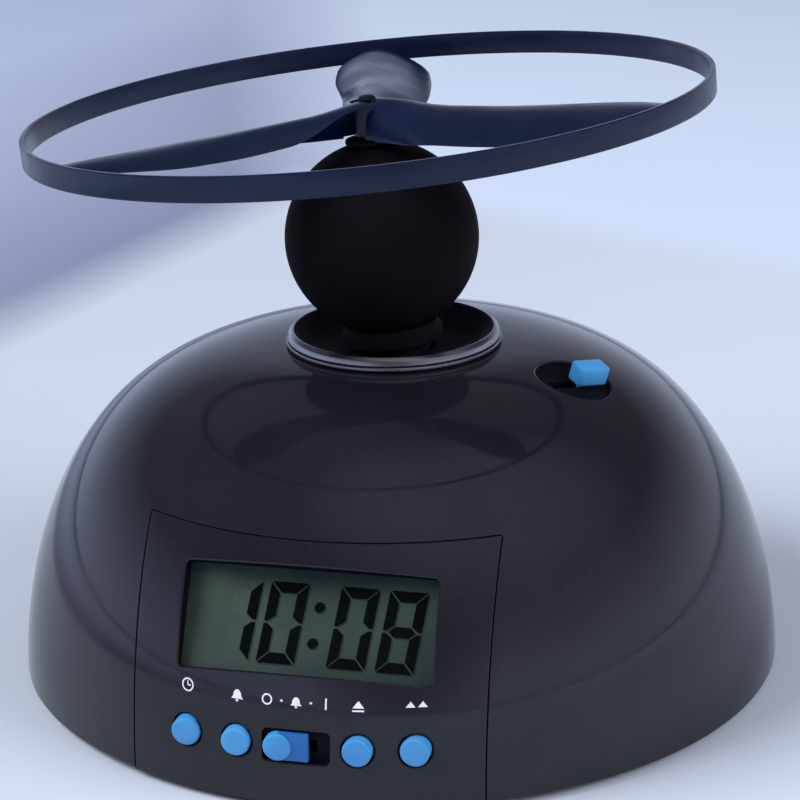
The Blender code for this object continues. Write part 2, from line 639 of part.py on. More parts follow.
def neck(axis):
    """Bored neck that is held in the collar's floor between a shoulder and a flange."""
    shoulder = FLOOR_HALF + ROCK_ROOM
    flange = -shoulder
    saucer_r = NECK_SHOULDER_R - NECK_SAUCER_DRAW
    saucer_top = BALL_W - ball_drop(saucer_r) - GAP
    inner = BALL_R - BALL_WALL
    top_low = BALL_W - ball_drop(NECK_TOP_FLANGE_R, inner) + GAP
    top_high = top_low + NECK_TOP_FLANGE_THICK
    outline = [(NECK_BORE_R, flange - NECK_FLANGE_THICK), (NECK_SHOULDER_R, flange - NECK_FLANGE_THICK),
               (NECK_SHOULDER_R, flange), (NECK_R, flange), (NECK_R, shoulder), (NECK_SHOULDER_R, shoulder),
               (NECK_SHOULDER_R, shoulder + (saucer_top - shoulder) * 0.6), (saucer_r, saucer_top),
               (NECK_R, BALL_W - ball_drop(NECK_R) - GAP), (NECK_R, top_low), (NECK_TOP_FLANGE_R, top_low),
               (NECK_TOP_FLANGE_R, top_high), (NECK_BORE_R, top_high)]
    turned("neck", outline, "matt_black", SMALL_STEPS, parent=axis)


def ball_arc(radius, first_r, last_r, steps):
    """Points down the ball's arc, from first_r near the top pole to last_r near the bottom pole."""
    first = math.asin(first_r / radius)
    last = math.pi - math.asin(last_r / radius)
    angles = [first + (last - first) * step / steps for step in range(steps + 1)]
    return [(radius * math.sin(a), BALL_W + radius * math.cos(a)) for a in angles]


def ball_outline():
    """Outline of the hollow ball, open at both poles, with two ribs that cradle the motor."""
    inner = BALL_R - BALL_WALL
    outline = ball_arc(BALL_R, BALL_HOLE_TOP_R, BALL_HOLE_LOW_R, SKIN_ARCS)[::-1]
    rib_r = MOTOR_R + GAP
    levels = [side * MOTOR_LENGTH / 4.0 for side in (1.0, -1.0)]
    for radius, height in ball_arc(inner, BALL_HOLE_TOP_R, BALL_HOLE_LOW_R, BALL_LINING_ARCS):
        drop = height - BALL_W
        if levels and drop < levels[0]:
            middle = levels.pop(0)
            for edge, order in ((RIB_THICK / 2.0, 1), (-RIB_THICK / 2.0, -1)):
                wall_r = math.sqrt(inner ** 2 - (middle + edge) ** 2)
                outline += [(wall_r, BALL_W + middle + edge), (rib_r, BALL_W + middle + edge)][::order]
        if all(abs(drop - side * MOTOR_LENGTH / 4.0) > RIB_THICK for side in (1.0, -1.0)):
            outline.append((radius, height))
    return outline


def ball_halves(axis):
    outline = ball_outline()
    for name, side in (("ball_front", -1.0), ("ball_rear", 1.0)):
        half = turned(name, outline, "matt_black", BALL_STEPS, parent=axis)
        edges = sorted((side * GAP / 2.0, side * 2.0 * BALL_R))
        keep_inside(half, block("half_limit", (-2.0 * BALL_R, edges[0], 0.0),
                                (2.0 * BALL_R, edges[1], BALL_W + 2.0 * BALL_R), "matt_black", parent=axis))


def drive_motor(axis):
    step = NECK_BORE_R / 3.0
    outline = [(0.0, MOTOR_LOW - step), (NECK_BORE_R - step, MOTOR_LOW - step),
               (NECK_BORE_R - step, MOTOR_LOW), (MOTOR_R - step / 2.0, MOTOR_LOW),
               (MOTOR_R, MOTOR_LOW + step / 2.0), (MOTOR_R, MOTOR_HIGH), (MOTOR_SHAFT_R, MOTOR_HIGH),
               (MOTOR_SHAFT_R, MOTOR_HIGH + MOTOR_SHAFT_LENGTH), (0.0, MOTOR_HIGH + MOTOR_SHAFT_LENGTH)]
    turned("drive_motor", outline, "steel", SMALL_STEPS, parent=axis)


def spindle_bush(axis):
    bore = SPINDLE_R + SPINDLE_CLEAR
    outline = [(bore, BUSH_SEAT - BUSH_LENGTH), (BUSH_SLEEVE_R, BUSH_SEAT - BUSH_LENGTH),
               (BUSH_SLEEVE_R, BUSH_SEAT), (BUSH_R, BUSH_SEAT), (BUSH_R, BUSH_TOP - GAP),
               (BUSH_R - GAP, BUSH_TOP), (bore, BUSH_TOP)]
    turned("spindle_bush", outline, "matt_black", SMALL_STEPS, parent=axis)


def spindle(axis):
    """Shaft from the motor up through the bush, with a square drive end for the rotor's hub."""
    low = MOTOR_HIGH + GAP
    sleeve_r = 2.0 * SPINDLE_R
    sleeve_top = min(low + 2.0 * MOTOR_SHAFT_LENGTH, BUSH_SEAT - BUSH_LENGTH) - GAP
    socket_r = MOTOR_SHAFT_R + GAP
    socket_top = MOTOR_HIGH + MOTOR_SHAFT_LENGTH + GAP
    outline = [(socket_r, low), (sleeve_r, low), (sleeve_r, sleeve_top), (SPINDLE_R, sleeve_top),
               (SPINDLE_R, HUB_LOW), (0.0, HUB_LOW), (0.0, socket_top), (socket_r, socket_top)]
    shaft = turned("spindle", outline, "steel", SMALL_STEPS, parent=axis)
    half = DRIVE_SIDE / 2.0
    join(shaft, block("drive", (-half, -half, HUB_LOW - GAP), (half, half, HUB_LOW + DRIVE_LENGTH), "steel",
                      parent=axis))


def blade_chord(radius):
    """Chord of a paddle: a narrow cuff, a broad middle and a drawn-in tip, joined by cosine ramps."""
    if radius <= CUFF_R:
        return CUFF_CHORD
    if radius <= BLADE_WIDEST_R:
        share = (radius - CUFF_R) / (BLADE_WIDEST_R - CUFF_R)
        return CUFF_CHORD + (BLADE_CHORD - CUFF_CHORD) * (1.0 - math.cos(math.pi * share)) / 2.0
    share = (radius - BLADE_WIDEST_R) / (blade_tip_radius() - BLADE_WIDEST_R)
    return TIP_CHORD + (BLADE_CHORD - TIP_CHORD) * (1.0 - share ** TIP_TAPER_POWER)


def blade_pitch(radius):
    """Pitch of a paddle: steep at the hub and nearly flat from the end of the twist outwards."""
    share = min(max((radius - HUB_R) / (BLADE_TWIST_R - HUB_R), 0.0), 1.0) ** BLADE_TWIST_POWER
    return BLADE_PITCH + (BLADE_ROOT_PITCH - BLADE_PITCH) * (1.0 + math.cos(math.pi * share)) / 2.0


def blade_stations():
    """Radii of a paddle's sections, closer together in the twist."""
    root_r = HUB_R / 2.0
    near = BLADE_STATIONS // 2
    inner = [root_r + (BLADE_TWIST_R - root_r) * step / near for step in range(near)]
    outer = [BLADE_TWIST_R + (blade_tip_radius() - BLADE_TWIST_R) * step / near for step in range(near + 1)]
    return inner + outer


def blade_tip_radius():
    """End of a paddle, whose square tip stays clear of the band."""
    inside = RING_R - RING_WALL - GAP
    return math.sqrt(inside ** 2 - (TIP_CHORD / 2.0) ** 2)


def blade(name, azimuth, axis):
    """Twisted paddle: arched sections along the radius, steep at the root and nearly flat outwards."""
    form = bmesh.new()
    root_w = HUB_LOW + BLADE_ROOT_RISE
    rings = []
    for radius in blade_stations():
        share = radius / blade_tip_radius()
        pitch = blade_pitch(radius)
        centre_w = root_w + (RING_W - root_w) * share ** BLADE_RISE_POWER
        sweep = BLADE_SWEEP * math.sin(math.pi * share)
        thick = BLADE_THICK * (1.6 - 0.9 * share)
        chord = blade_chord(radius)
        camber = BLADE_CAMBER * max(chord - CUFF_CHORD, 0.0) / (BLADE_CHORD - CUFF_CHORD)
        ring = []
        for index in range(BLADE_SIDES):
            turn = 2.0 * math.pi * index / BLADE_SIDES
            along = chord / 2.0 * math.cos(turn) - sweep
            over = thick / 2.0 * math.sin(turn) + camber * (0.5 - math.cos(turn) ** 2)
            side = along * math.cos(pitch) - over * math.sin(pitch)
            up = along * math.sin(pitch) + over * math.cos(pitch)
            ring.append(form.verts.new((radius, side, centre_w + up)))
        rings.append(ring)
    for ring, following in zip(rings, rings[1:]):
        for index in range(BLADE_SIDES):
            after = (index + 1) % BLADE_SIDES
            form.faces.new((ring[index], ring[after], following[after], following[index]))
    form.faces.new(rings[0])
    form.faces.new(rings[-1])
    return add_object(name, form, "rotor_black", Matrix.Rotation(azimuth, 4, "Z"), axis)


def propeller(axis):
    """Hub with three paddles, a square bore for the drive and a small hole for the cap."""
    outline = [(0.0, HUB_LOW - GAP), (HUB_R, HUB_LOW - GAP), (HUB_R, HUB_TOP - 2.0 * GAP),
               (HUB_R - 2.0 * GAP, HUB_TOP), (0.0, HUB_TOP)]
    hub = turned("propeller", outline, "rotor_black", SMALL_STEPS, parent=axis)
    for index in range(BLADE_COUNT):
        join(hub, blade("paddle", ROTOR_PHASE + 2.0 * math.pi * index / BLADE_COUNT, axis))
    cut(hub, rod("trim", BUSH_R + 2.0 * GAP, 0.0, HUB_LOW, "rotor_black", SMALL_STEPS, parent=axis))
    half = DRIVE_SIDE / 2.0 + GAP
    cut(hub, block("drive_bore", (-half, -half, 0.0), (half, half, HUB_LOW + DRIVE_LENGTH + GAP),
                   "rotor_black", parent=axis))
    cut(hub, rod("cap_bore", CAP_STEM_R + GAP, HUB_TOP - CAP_STEM_LENGTH - GAP, 2.0 * HUB_TOP,
                 "rotor_black", TINY_STEPS, parent=axis))


def rotor_ring(axis):
    low = RING_W - RING_HEIGHT / 2.0
    high = RING_W + RING_HEIGHT / 2.0
    inner = RING_R - RING_WALL
    edge = RING_WALL / 4.0
    outline = [(inner, low + edge), (inner + edge, low), (RING_R - edge, low), (RING_R, low + edge),
               (RING_R, high - edge), (RING_R - edge, high), (inner + edge, high), (inner, high - edge)]
    turned("rotor_ring", outline, "rotor_black", TURN_STEPS, parent=axis)


def rotor_cap(axis):
    """Mushroom pin pressed in the top of the hub."""
    base = HUB_TOP + GAP
    low = base + GAP - CAP_STEM_LENGTH
    outline = [(0.0, low), (CAP_STEM_R, low), (CAP_STEM_R, base), (CAP_R, base),
               (CAP_R, base + 0.4 * CAP_HEIGHT), (0.7 * CAP_R, base + 0.85 * CAP_HEIGHT),
               (0.0, base + CAP_HEIGHT)]
    turned("rotor_cap", outline, "matt_black", TINY_STEPS, parent=axis)


def base_plate():
    """Bottom cover with the battery bay, screw wells, foot pockets, speaker boss and board posts."""
    plate = rod("base_plate", PLATE_R, RIM_Z, BASE_TOP, "matt_black", TURN_STEPS)
    out_x = BAY_HALF_X + BAY_WALL
    out_y = BAY_HALF_Y + BAY_WALL
    join(plate, block("bay", (-out_x, -out_y, RIM_Z + GAP), (out_x, out_y, BAY_CEILING + BAY_WALL),
                      "matt_black"))
    cut(plate, block("bay_room", (-BAY_HALF_X, -BAY_HALF_Y, 0.0), (BAY_HALF_X, BAY_HALF_Y, BAY_CEILING),
                     "matt_black"))
    for x in TAB_XS:
        cut(plate, block("tab_slot", (x - TAB_HALF_X - GAP, -BAY_HALF_Y - DOOR_TAB, BASE_TOP),
                         (x + TAB_HALF_X + GAP, 0.0, BASE_TOP + 2.0 * DOOR_TAB), "matt_black"))
    cut(plate, block("latch_notch", (-LATCH_HALF_X - GAP, 0.0, 0.0),
                     (LATCH_HALF_X + GAP, BAY_HALF_Y + DOOR_TAB, BASE_TOP + GAP), "matt_black"))
    boss_high = BASE_TOP + SPEAKER_FRAME
    boss_in = SPEAKER_R + GAP
    outline = [(boss_in, RIM_Z + GAP), (boss_in + SPEAKER_BOSS, RIM_Z + GAP),
               (boss_in + SPEAKER_BOSS, boss_high), (boss_in, boss_high)]
    join(plate, turned("speaker_boss", outline, "matt_black", SPEAKER_STEPS,
                       Matrix.Translation((0.0, SPEAKER_Y, 0.0))))
    join_board_posts(plate)
    for index in range(SPEAKER_SLOTS):
        y = SPEAKER_Y + (index - (SPEAKER_SLOTS - 1) / 2.0) * SPEAKER_R / 3.0
        half = 0.8 * math.sqrt(SPEAKER_R ** 2 - (y - SPEAKER_Y) ** 2)
        cut(plate, block("sound_slot", (-half, y - SPEAKER_BOSS / 2.0, 0.0),
                         (half, y + SPEAKER_BOSS / 2.0, BASE_TOP + GAP), "matt_black"))
    for angle in FOOT_ANGLES:
        cut(plate, rod("foot_pocket", FOOT_R + GAP, 0.0, RIM_Z + FOOT_POCKET, "matt_black", SMALL_STEPS,
                       circle_spot(FOOT_CIRCLE_R, angle)))
    for angle in BOSS_ANGLES:
        seat = RIM_Z + BASE_THICK / 2.0
        well = [(0.0, 0.0), (SCREW_HEAD_R, 0.0), (SCREW_HEAD_R, seat), (SCREW_HOLE_R, seat),
                (SCREW_HOLE_R, 2.0 * BASE_TOP), (0.0, 2.0 * BASE_TOP)]
        cut(plate, turned("screw_well", well, "matt_black", TINY_STEPS, circle_spot(BOSS_CIRCLE_R, angle)))


def join_board_posts(plate):
    """Two slotted posts that hold the ends of the button board."""
    back = BUTTON_BOARD_FRONT - BOARD_THICK
    for side in (-1.0, 1.0):
        end = side * BUTTON_BOARD_WIDTH / 2.0
        low_x, high_x = sorted((end - side * 2.0 * BAY_WALL, end + side * BAY_WALL))
        post = block("post", (low_x, -BUTTON_BOARD_FRONT - BAY_WALL, RIM_Z + GAP),
                     (high_x, -back + BAY_WALL, BUTTON_Z), "matt_black")
        slot_low, slot_high = sorted((end - side * 4.0 * BAY_WALL, end + side * GAP))
        cut(post, block("post_slot", (slot_low, -BUTTON_BOARD_FRONT - GAP, BASE_TOP),
                        (slot_high, GAP - back, 2.0 * BUTTON_Z), "matt_black"))
        join(plate, post)


def battery_door():
    """Flush door, hooked by two tabs at its front edge, with a latch tongue at its rear edge."""
    half_x = BAY_HALF_X - SEAM
    half_y = BAY_HALF_Y - SEAM
    door = block("battery_door", (-half_x, -half_y, RIM_Z), (half_x, half_y, BASE_TOP), "matt_black")
    rise = BASE_TOP + GAP
    for x in TAB_XS:
        join(door, block("tab_root", (x - TAB_HALF_X, -half_y, RIM_Z + GAP),
                         (x + TAB_HALF_X, DOOR_TAB_THICK - half_y, rise + DOOR_TAB_THICK), "matt_black"))
        join(door, block("tab", (x - TAB_HALF_X, -half_y - DOOR_TAB / 2.0, rise),
                         (x + TAB_HALF_X, DOOR_TAB_THICK - half_y, rise + DOOR_TAB_THICK), "matt_black"))
    join(door, block("latch", (-LATCH_HALF_X, half_y - LATCH_ROOT, RIM_Z),
                     (LATCH_HALF_X, BAY_HALF_Y + DOOR_TAB - GAP, BASE_TOP), "matt_black"))


def feet():
    names = ("foot_rear_right", "foot_rear_left", "foot_front_left", "foot_front_right")
    edge = FOOT_R / 8.0
    for name, angle in zip(names, FOOT_ANGLES):
        turned(name, [(0.0, 0.0), (FOOT_R - edge, 0.0), (FOOT_R, edge), (FOOT_R, RIM_Z + FOOT_POCKET - GAP),
                      (0.0, RIM_Z + FOOT_POCKET - GAP)], "rubber", SMALL_STEPS,
               circle_spot(FOOT_CIRCLE_R, angle))


def cells():
    """Cells side by side, with their nubs at alternate ends."""
    for index, x in enumerate(CELL_XS):
        half = CELL_LENGTH / 2.0
        turn = math.pi / 2.0 if index % 2 == 0 else -math.pi / 2.0
        place = Matrix.Translation((x, 0.0, CELL_Z)) @ Matrix.Rotation(turn, 4, "X")
        outline = [(0.0, -half), (CELL_R, -half), (CELL_R, half - CELL_NUB), (CELL_NUB_R, half - CELL_NUB),
                   (CELL_NUB_R, half), (0.0, half)]
        turned(f"cell_{index + 1}", outline, "cell_jacket", BUTTON_STEPS, place)


def contacts():
    """Spring plates at both ends of the bay, which join the cells in a row."""
    groups = {"contact_front_left": (-1.0, (0, 1)), "contact_front_right": (-1.0, (2, 3)),
              "contact_rear_left": (1.0, (0,)), "contact_rear_middle": (1.0, (1, 2)),
              "contact_rear_right": (1.0, (3,))}
    for name, (side, members) in groups.items():
        half = 0.75 * CELL_R
        low_x = CELL_XS[members[0]] - half
        high_x = CELL_XS[members[-1]] + half
        outer = side * (BAY_HALF_Y - GAP)
        inner = side * (BAY_HALF_Y - GAP - CONTACT_THICK)
        low_y, high_y = sorted((outer, inner))
        plate = block(name, (low_x, low_y, CELL_Z - half), (high_x, high_y, CELL_Z + half), "steel")
        reach = CONTACT_ROOM - 2.0 * GAP
        for member in members:
            place = (Matrix.Translation((CELL_XS[member], outer, CELL_Z))
                     @ Matrix.Rotation(side * math.pi / 2.0, 4, "X"))
            cone = [(0.0, CONTACT_THICK / 2.0), (0.55 * CELL_R, CONTACT_THICK / 2.0), (0.3 * CELL_R, reach),
                    (0.0, reach)]
            join(plate, turned("spring", cone, "steel", SPRING_STEPS, place))


def speaker():
    low = BASE_TOP + GAP
    top = low + SPEAKER_FRAME
    cone_r = 0.8 * SPEAKER_R
    middle = low + SPEAKER_FRAME / 2.0
    outline = [(0.0, middle), (cone_r / 3.0, middle), (cone_r, low + GAP), (cone_r, low),
               (SPEAKER_R, low), (SPEAKER_R, middle), (MAGNET_R, top), (MAGNET_R, top + MAGNET_HEIGHT),
               (0.0, top + MAGNET_HEIGHT)]
    turned("speaker", outline, "steel", SPEAKER_STEPS, Matrix.Translation((0.0, SPEAKER_Y, 0.0)))


def build():
    clear_scene()
    upper_shell()
    front_panel()
    display_stack()
    button_board()
    for name, x in BUTTONS.items():
        button(name, x)
        tact_switch(name.replace("button", "switch"), x)
    alarm_switch()
    launch_switch()
    socket_collar()
    axis = head_axis()
    neck(axis)
    ball_halves(axis)
    drive_motor(axis)
    spindle_bush(axis)
    spindle(axis)
    propeller(axis)
    rotor_ring(axis)
    rotor_cap(axis)
    base_plate()
    battery_door()
    feet()
    cells()
    contacts()
    speaker()
    soften()


build()
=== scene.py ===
"""Looks of the flying alarm clock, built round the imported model.

Pieces are modelled in millimetres in the row's frame (front -Y, up +Z), and turned to metres when done.
"""
import json
from math import acos, asin, atan2, ceil, copysign, cos, hypot, pi, radians, sin, sqrt, tan

import bmesh
import bpy
import numpy as np
from mathutils import Matrix, Vector


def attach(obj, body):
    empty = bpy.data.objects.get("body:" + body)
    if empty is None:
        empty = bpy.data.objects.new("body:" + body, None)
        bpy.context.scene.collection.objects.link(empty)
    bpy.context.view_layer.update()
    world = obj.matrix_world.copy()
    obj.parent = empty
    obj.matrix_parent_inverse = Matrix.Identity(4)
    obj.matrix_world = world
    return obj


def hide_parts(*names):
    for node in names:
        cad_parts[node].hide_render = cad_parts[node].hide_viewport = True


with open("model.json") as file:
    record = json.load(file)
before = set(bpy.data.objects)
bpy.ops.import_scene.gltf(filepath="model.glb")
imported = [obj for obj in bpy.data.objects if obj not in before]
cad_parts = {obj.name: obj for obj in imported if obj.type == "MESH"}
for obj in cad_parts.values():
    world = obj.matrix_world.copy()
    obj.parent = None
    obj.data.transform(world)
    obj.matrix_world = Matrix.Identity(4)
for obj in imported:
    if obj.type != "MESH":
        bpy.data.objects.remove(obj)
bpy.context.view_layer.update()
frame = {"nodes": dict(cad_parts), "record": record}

MM = 0.001
TURN = 2.0 * pi
TINY = 1e-6
GAP = 0.3
SEAM = 0.35
ROUND_STEPS = 240
MIDDLE_STEPS = 120
SMALL_STEPS = 64
SCREW_STEPS = 40
ARC_STEPS = 6
SHARP_ANGLE = 32.0
SOFT_ANGLE = 40.0

# Dome: (r / R) ** power_r + (z / H) ** power_z = 1
DOME_R = 72.5
DOME_CURVE_H = 61.9
DOME_POWER_R = 3.8
DOME_POWER_Z = 1.8
DOME_WALL = 2.2
RIM_Z = 1.2
CROWN_HOLE_R = 19.0
SKIN_STEPS = 110
LINING_STEPS = 40
LIMIT_TOP = 60.0
RIM_ROUND = 0.6
CROWN_ROUND = 0.35
EDGE = 0.4
SEAM_EDGE = 0.18
RECESS_VALUE = -0.012
SKIN_REACH = 40.0
SKIN_HALVINGS = 26
NEAR_SKIN = 0.02
ALONG_SKIN = 0.97

# Cutters: how far they stand above the skin, and the rounded edge that they leave on it
CUT_TALL = 12.0
CUT_SHORT = 6.0
MOUTH_TURN = radians(80.0)
MOUTH_REACH = 1.6
MOUTH_RISE = 0.12

# Front panel and display
PANEL_WIDTH = 63.0
PANEL_TOP = 44.5
PANEL_STRIDE = 0.7
OPENING_LOW = -6.0
OPENING_DEEP = 45.0
OPENING_CORNER = 0.6
LCD_CENTRE_Z = 32.5
LCD_LEAN = radians(28.0)
WINDOW_WIDTH = 45.0
WINDOW_HEIGHT = 18.2
WINDOW_FRAME = 2.0
WINDOW_CORNER = 0.8
WINDOW_STRIDE = 0.8
LCD_DEPTH = 6.4
LCD_THICK = 2.2
LCD_MARGIN = 0.5
LCD_ROOM = 0.8
LCD_EDGE = 0.12
LCD_BEHIND = 40.0
LCD_FRONT = -LCD_DEPTH - GAP
DIGIT_WIDTH = 6.8
DIGIT_HEIGHT = 14.1
DIGIT_STROKE = 1.85
DIGIT_GAP = 0.22
DIGIT_SLANT = 0.11
DIGIT_CENTRES = (-13.35, -5.05, 7.5, 16.1)
DIGIT_LEVEL = -0.25
DIGIT_FLOOR = LCD_FRONT - 0.15
LIT_TOP = LCD_FRONT - 0.03
SHADE_TOP = LCD_FRONT - 0.08
UNLIT_TOP = LCD_FRONT - 0.10
SHADE_SHIFT = (0.28, -0.26)
LIT = {"0": "abcdef", "1": "bc", "8": "abcdefg"}
COLON_SPOTS = ((1.25, 2.9), (0.6, -3.35))
COLON_R = 0.92
COLON_STEPS = 32

# Buttons and alarm switch
BUTTON_R = 2.55
BUTTON_Z = 11.6
BUTTON_INNER_X = 10.7
BUTTON_OUTER_X = 20.3
BUTTON_PROUD = 1.2
BUTTON_CLEAR = 0.35
BUTTON_DEPTH = 12.0
BUTTON_EDGE = 0.25
BUTTON_FLANGE_R = BUTTON_R + 0.6
BUTTON_FLANGE_LOW = -4.5
BUTTON_FLANGE_TOP = -3.4
BUTTON_STEM_R = 1.2
BUTTON_STEM_LOW = -8.5
BUTTON_STEM_TOP = -4.0
KNOB_LENGTH = 8.0
KNOB_HEIGHT = 5.1
KNOB_PROUD = 0.4
KNOB_GRIP_PROUD = 0.9
KNOB_GRIP_INSET = 0.05
KNOB_ROUND = 0.3
SLIDE_TRAVEL = 3.4
SLIDE_POCKET = 1.2
SLIDE_CORNER = 1.0
SLIDE_STRIDE = 0.6
SLIDE_FILLET = 0.2
STEM_LENGTH = 3.0
STEM_WIDTH = 1.6
STEM_LOW = -8.0

# Signs printed above the controls. Rings: x, radius, stroke. Bells: x, size. Bars: x, rise, half width
# and half height. Arrow heads: x, size.
SIGN_Z = 19.4
SIGN_LOW = 0.05
SIGN_PROUD = 0.035
SIGN_RINGS = ((-BUTTON_OUTER_X, 1.15, 0.24), (-5.2, 0.95, 0.26))
SIGN_BELLS = ((-BUTTON_INNER_X, 1.1), (0.0, 1.0))
SIGN_BARS = ((-BUTTON_OUTER_X, 0.32, 0.10, 0.36), (-BUTTON_OUTER_X + 0.28, -0.02, 0.30, 0.10),
             (5.2, 0.0, 0.15, 0.95), (-2.6, 0.0, 0.22, 0.16), (2.6, 0.0, 0.22, 0.16),
             (BUTTON_INNER_X, -0.95, 1.0, 0.13))
SIGN_ARROWS = ((BUTTON_INNER_X, 1.0), (BUTTON_OUTER_X - 1.0, 0.8), (BUTTON_OUTER_X + 1.0, 0.8))
RING_PARTS = 24
BELL = ((-1.0, -0.62), (-0.72, -0.3), (-0.62, 0.25), (-0.38, 0.66), (0.0, 0.82), (0.38, 0.66), (0.62, 0.25),
        (0.72, -0.3), (1.0, -0.62))
CLAPPER_HALF = 0.24
CLAPPER_TALL = 0.2
CLAPPER_DROP = 0.86
CLAPPER_STEPS = 12
ARROW = ((-1.0, -0.5), (0.0, 0.75), (1.0, -0.5))

# Launch knob
LAUNCH_AZIMUTH = radians(-13.4)
LAUNCH_R = 37.1
LAUNCH_TURN = radians(-31.3)
LAUNCH_TRAVEL = 6.2
LAUNCH_POCKET_R = 7.1
LAUNCH_POCKET_DEPTH = 1.3
LAUNCH_LENGTH = 6.4
LAUNCH_WIDTH = 3.8
LAUNCH_PROUD = 2.8
LAUNCH_STEM_LOW = -5.0
LAUNCH_STEM_OVERLAP = 0.9
LAUNCH_ROUND = 0.6
POCKET_FILLET = 0.35
POCKET_STEPS = 96
SLOPE_STEP = 1.0

# Collar and launcher head
COLLAR_R = 20.3
COLLAR_BEAD = 0.72
COLLAR_GROOVE = 0.5
COLLAR_GROOVE_HEIGHT = 0.24
COLLAR_EDGE_R = 18.6
COLLAR_TALL = 0.85
COLLAR_LIP_RISE = 2.0
COLLAR_DISH = 2.7
COLLAR_FLOOR_R = 11.0
COLLAR_THICK = 1.8
DISH_PARTS = (0.0, 0.06, 0.13, 0.21, 0.3, 0.4, 0.52, 0.65, 0.8, 1.0)
DISH_POWER = 2.2
DISH_INSET = 0.25
DISH_DROP = 0.3
HEAD_LEAN = radians(5.1)
HEAD_LEAN_AZIMUTH = radians(172.0)
NECK_R = 7.0
NECK_BORE_R = 4.5
NECK_CLEAR = 0.6
NECK_SHOULDER_R = 9.5
NECK_FLANGE_THICK = 2.4
NECK_SAUCER_DRAW = 1.0
NECK_INSIDE = 2.0
BALL_R = 18.1
BALL_RISE = 21.6
BALL_WALL = 1.6
BALL_STEPS = 96
BALL_ARCS = 72
BALL_LINING_ARCS = 24
BUSH_R = 4.8
BUSH_SLEEVE_R = 3.4
BUSH_LENGTH = 3.0
BUSH_FLANGE_THICK = 0.9
SPINDLE_BORE_R = 1.95
DRIVE_SIDE = 2.4
DRIVE_LENGTH = 3.6

# Rotor
RING_RISE = 5.2
RING_R = 63.7
RING_WALL = 1.0
RING_HEIGHT = 4.5
RING_ROUND = 0.3
RING_STEPS = 288
HUB_R = 2.8
HUB_LENGTH = 6.4
CAP_R = 1.65
CAP_HEIGHT = 0.9
CAP_STEM_R = 0.8
CAP_STEM_LENGTH = 1.6
ROTOR_PHASE = radians(103.0)
BLADE_COUNT = 3
BLADE_THICK = 1.3
BLADE_RINGS = 72
BLADE_SIDES = 32
# Paddle: distance from the axis, half widths ahead and behind, pitch in degrees, camber, and rise
# against the band
PADDLE = ((2.0, 3.4, 6.2, 46.0, 2.0, -0.6), (8.0, 4.6, 6.4, 30.0, 1.8, -1.3),
          (16.0, 5.6, 9.2, 7.0, 3.2, -2.0), (28.0, 6.2, 10.6, 4.5, 3.4, -2.1),
          (42.0, 8.4, 11.0, 6.0, 3.2, -1.6), (53.0, 8.0, 10.2, 7.0, 2.2, -0.8),
          (62.0, 3.4, 3.6, 6.0, 0.6, 0.0))
PADDLE_SOFTNESS = 3.5
PADDLE_SAMPLES = 9
ROOT_THICKNESS = 1.4
THICKNESS_FALL = 0.7
BLADE_EDGE_POWER = 0.9
TIP_HALF = 3.5
TIP_OVERLAP = 0.1

# Underside
BASE_THICK = 2.0
FOOT_R = 5.0
FOOT_POCKET = 0.7
FOOT_TREAD_R = FOOT_R - 1.2
FOOT_TREAD = 0.25
RING_INSET = 9.6
SCREW_HOLE_R = 1.6
SCREW_HEAD_R = 2.7
BOSS_R = 3.4
SCREW_LENGTH = 12.0
SCREW_CORE_R = SCREW_HOLE_R - 0.3
SCREW_SHOWN = 5.0
CROSS_HALF = 1.4
CROSS_WIDTH = 0.3
CROSS_LOW = 2.0
CROSS_TOP = 0.5
FOOT_ANGLES = {"foot_rear_right": 60.0, "foot_rear_left": 120.0, "foot_front_left": 240.0,
               "foot_front_right": 300.0}
BOSS_ANGLES = (25.0, 155.0, 205.0, 335.0)

BUTTONS = {"time_button": -BUTTON_OUTER_X, "alarm_button": -BUTTON_INNER_X,
           "hour_button": BUTTON_INNER_X, "minute_button": BUTTON_OUTER_X}


def evenly(first, last, steps):
    return [first + (last - first) * step / steps for step in range(steps + 1)]


def round_turn(steps):
    return [TURN * step / steps for step in range(steps)]


# Dome curve

def dome_radius(z, inset=0.0):
    share = 1.0 - (max(z, 0.0) / (DOME_CURVE_H - inset)) ** DOME_POWER_Z
    return (DOME_R - inset) * max(share, 0.0) ** (1.0 / DOME_POWER_R)


def dome_height(radius, inset=0.0):
    share = 1.0 - (radius / (DOME_R - inset)) ** DOME_POWER_R
    return (DOME_CURVE_H - inset) * max(share, 0.0) ** (1.0 / DOME_POWER_Z)


def dome_front(x, z, inset=0.0):
    return sqrt(dome_radius(z, inset) ** 2 - x ** 2)


def dome_curve(low, end_radius, steps, inset=0.0):
    """Points of the curve from height low up to end_radius."""
    tall = DOME_CURVE_H - inset
    wide = DOME_R - inset
    first = asin((low / tall) ** (DOME_POWER_Z / 2.0))
    last = acos((end_radius / wide) ** (DOME_POWER_R / 2.0))
    return [(wide * cos(a) ** (2.0 / DOME_POWER_R), tall * sin(a) ** (2.0 / DOME_POWER_Z))
            for a in evenly(first, last, steps)]


def dome_value(point):
    """Negative inside the dome and positive outside it."""
    across = hypot(point.x, point.y)
    return ((across / DOME_R) ** DOME_POWER_R + (max(point.z, 0.0) / DOME_CURVE_H) ** DOME_POWER_Z) - 1.0


def skin_level(place, spot):
    """Height of the dome's skin over a spot of a place's own plane."""
    low, high = -SKIN_REACH, SKIN_REACH
    for _ in range(SKIN_HALVINGS):
        middle = (low + high) / 2.0
        if dome_value(place @ Vector((spot[0], spot[1], middle))) < 0.0:
            low = middle
        else:
            high = middle
    return (low + high) / 2.0


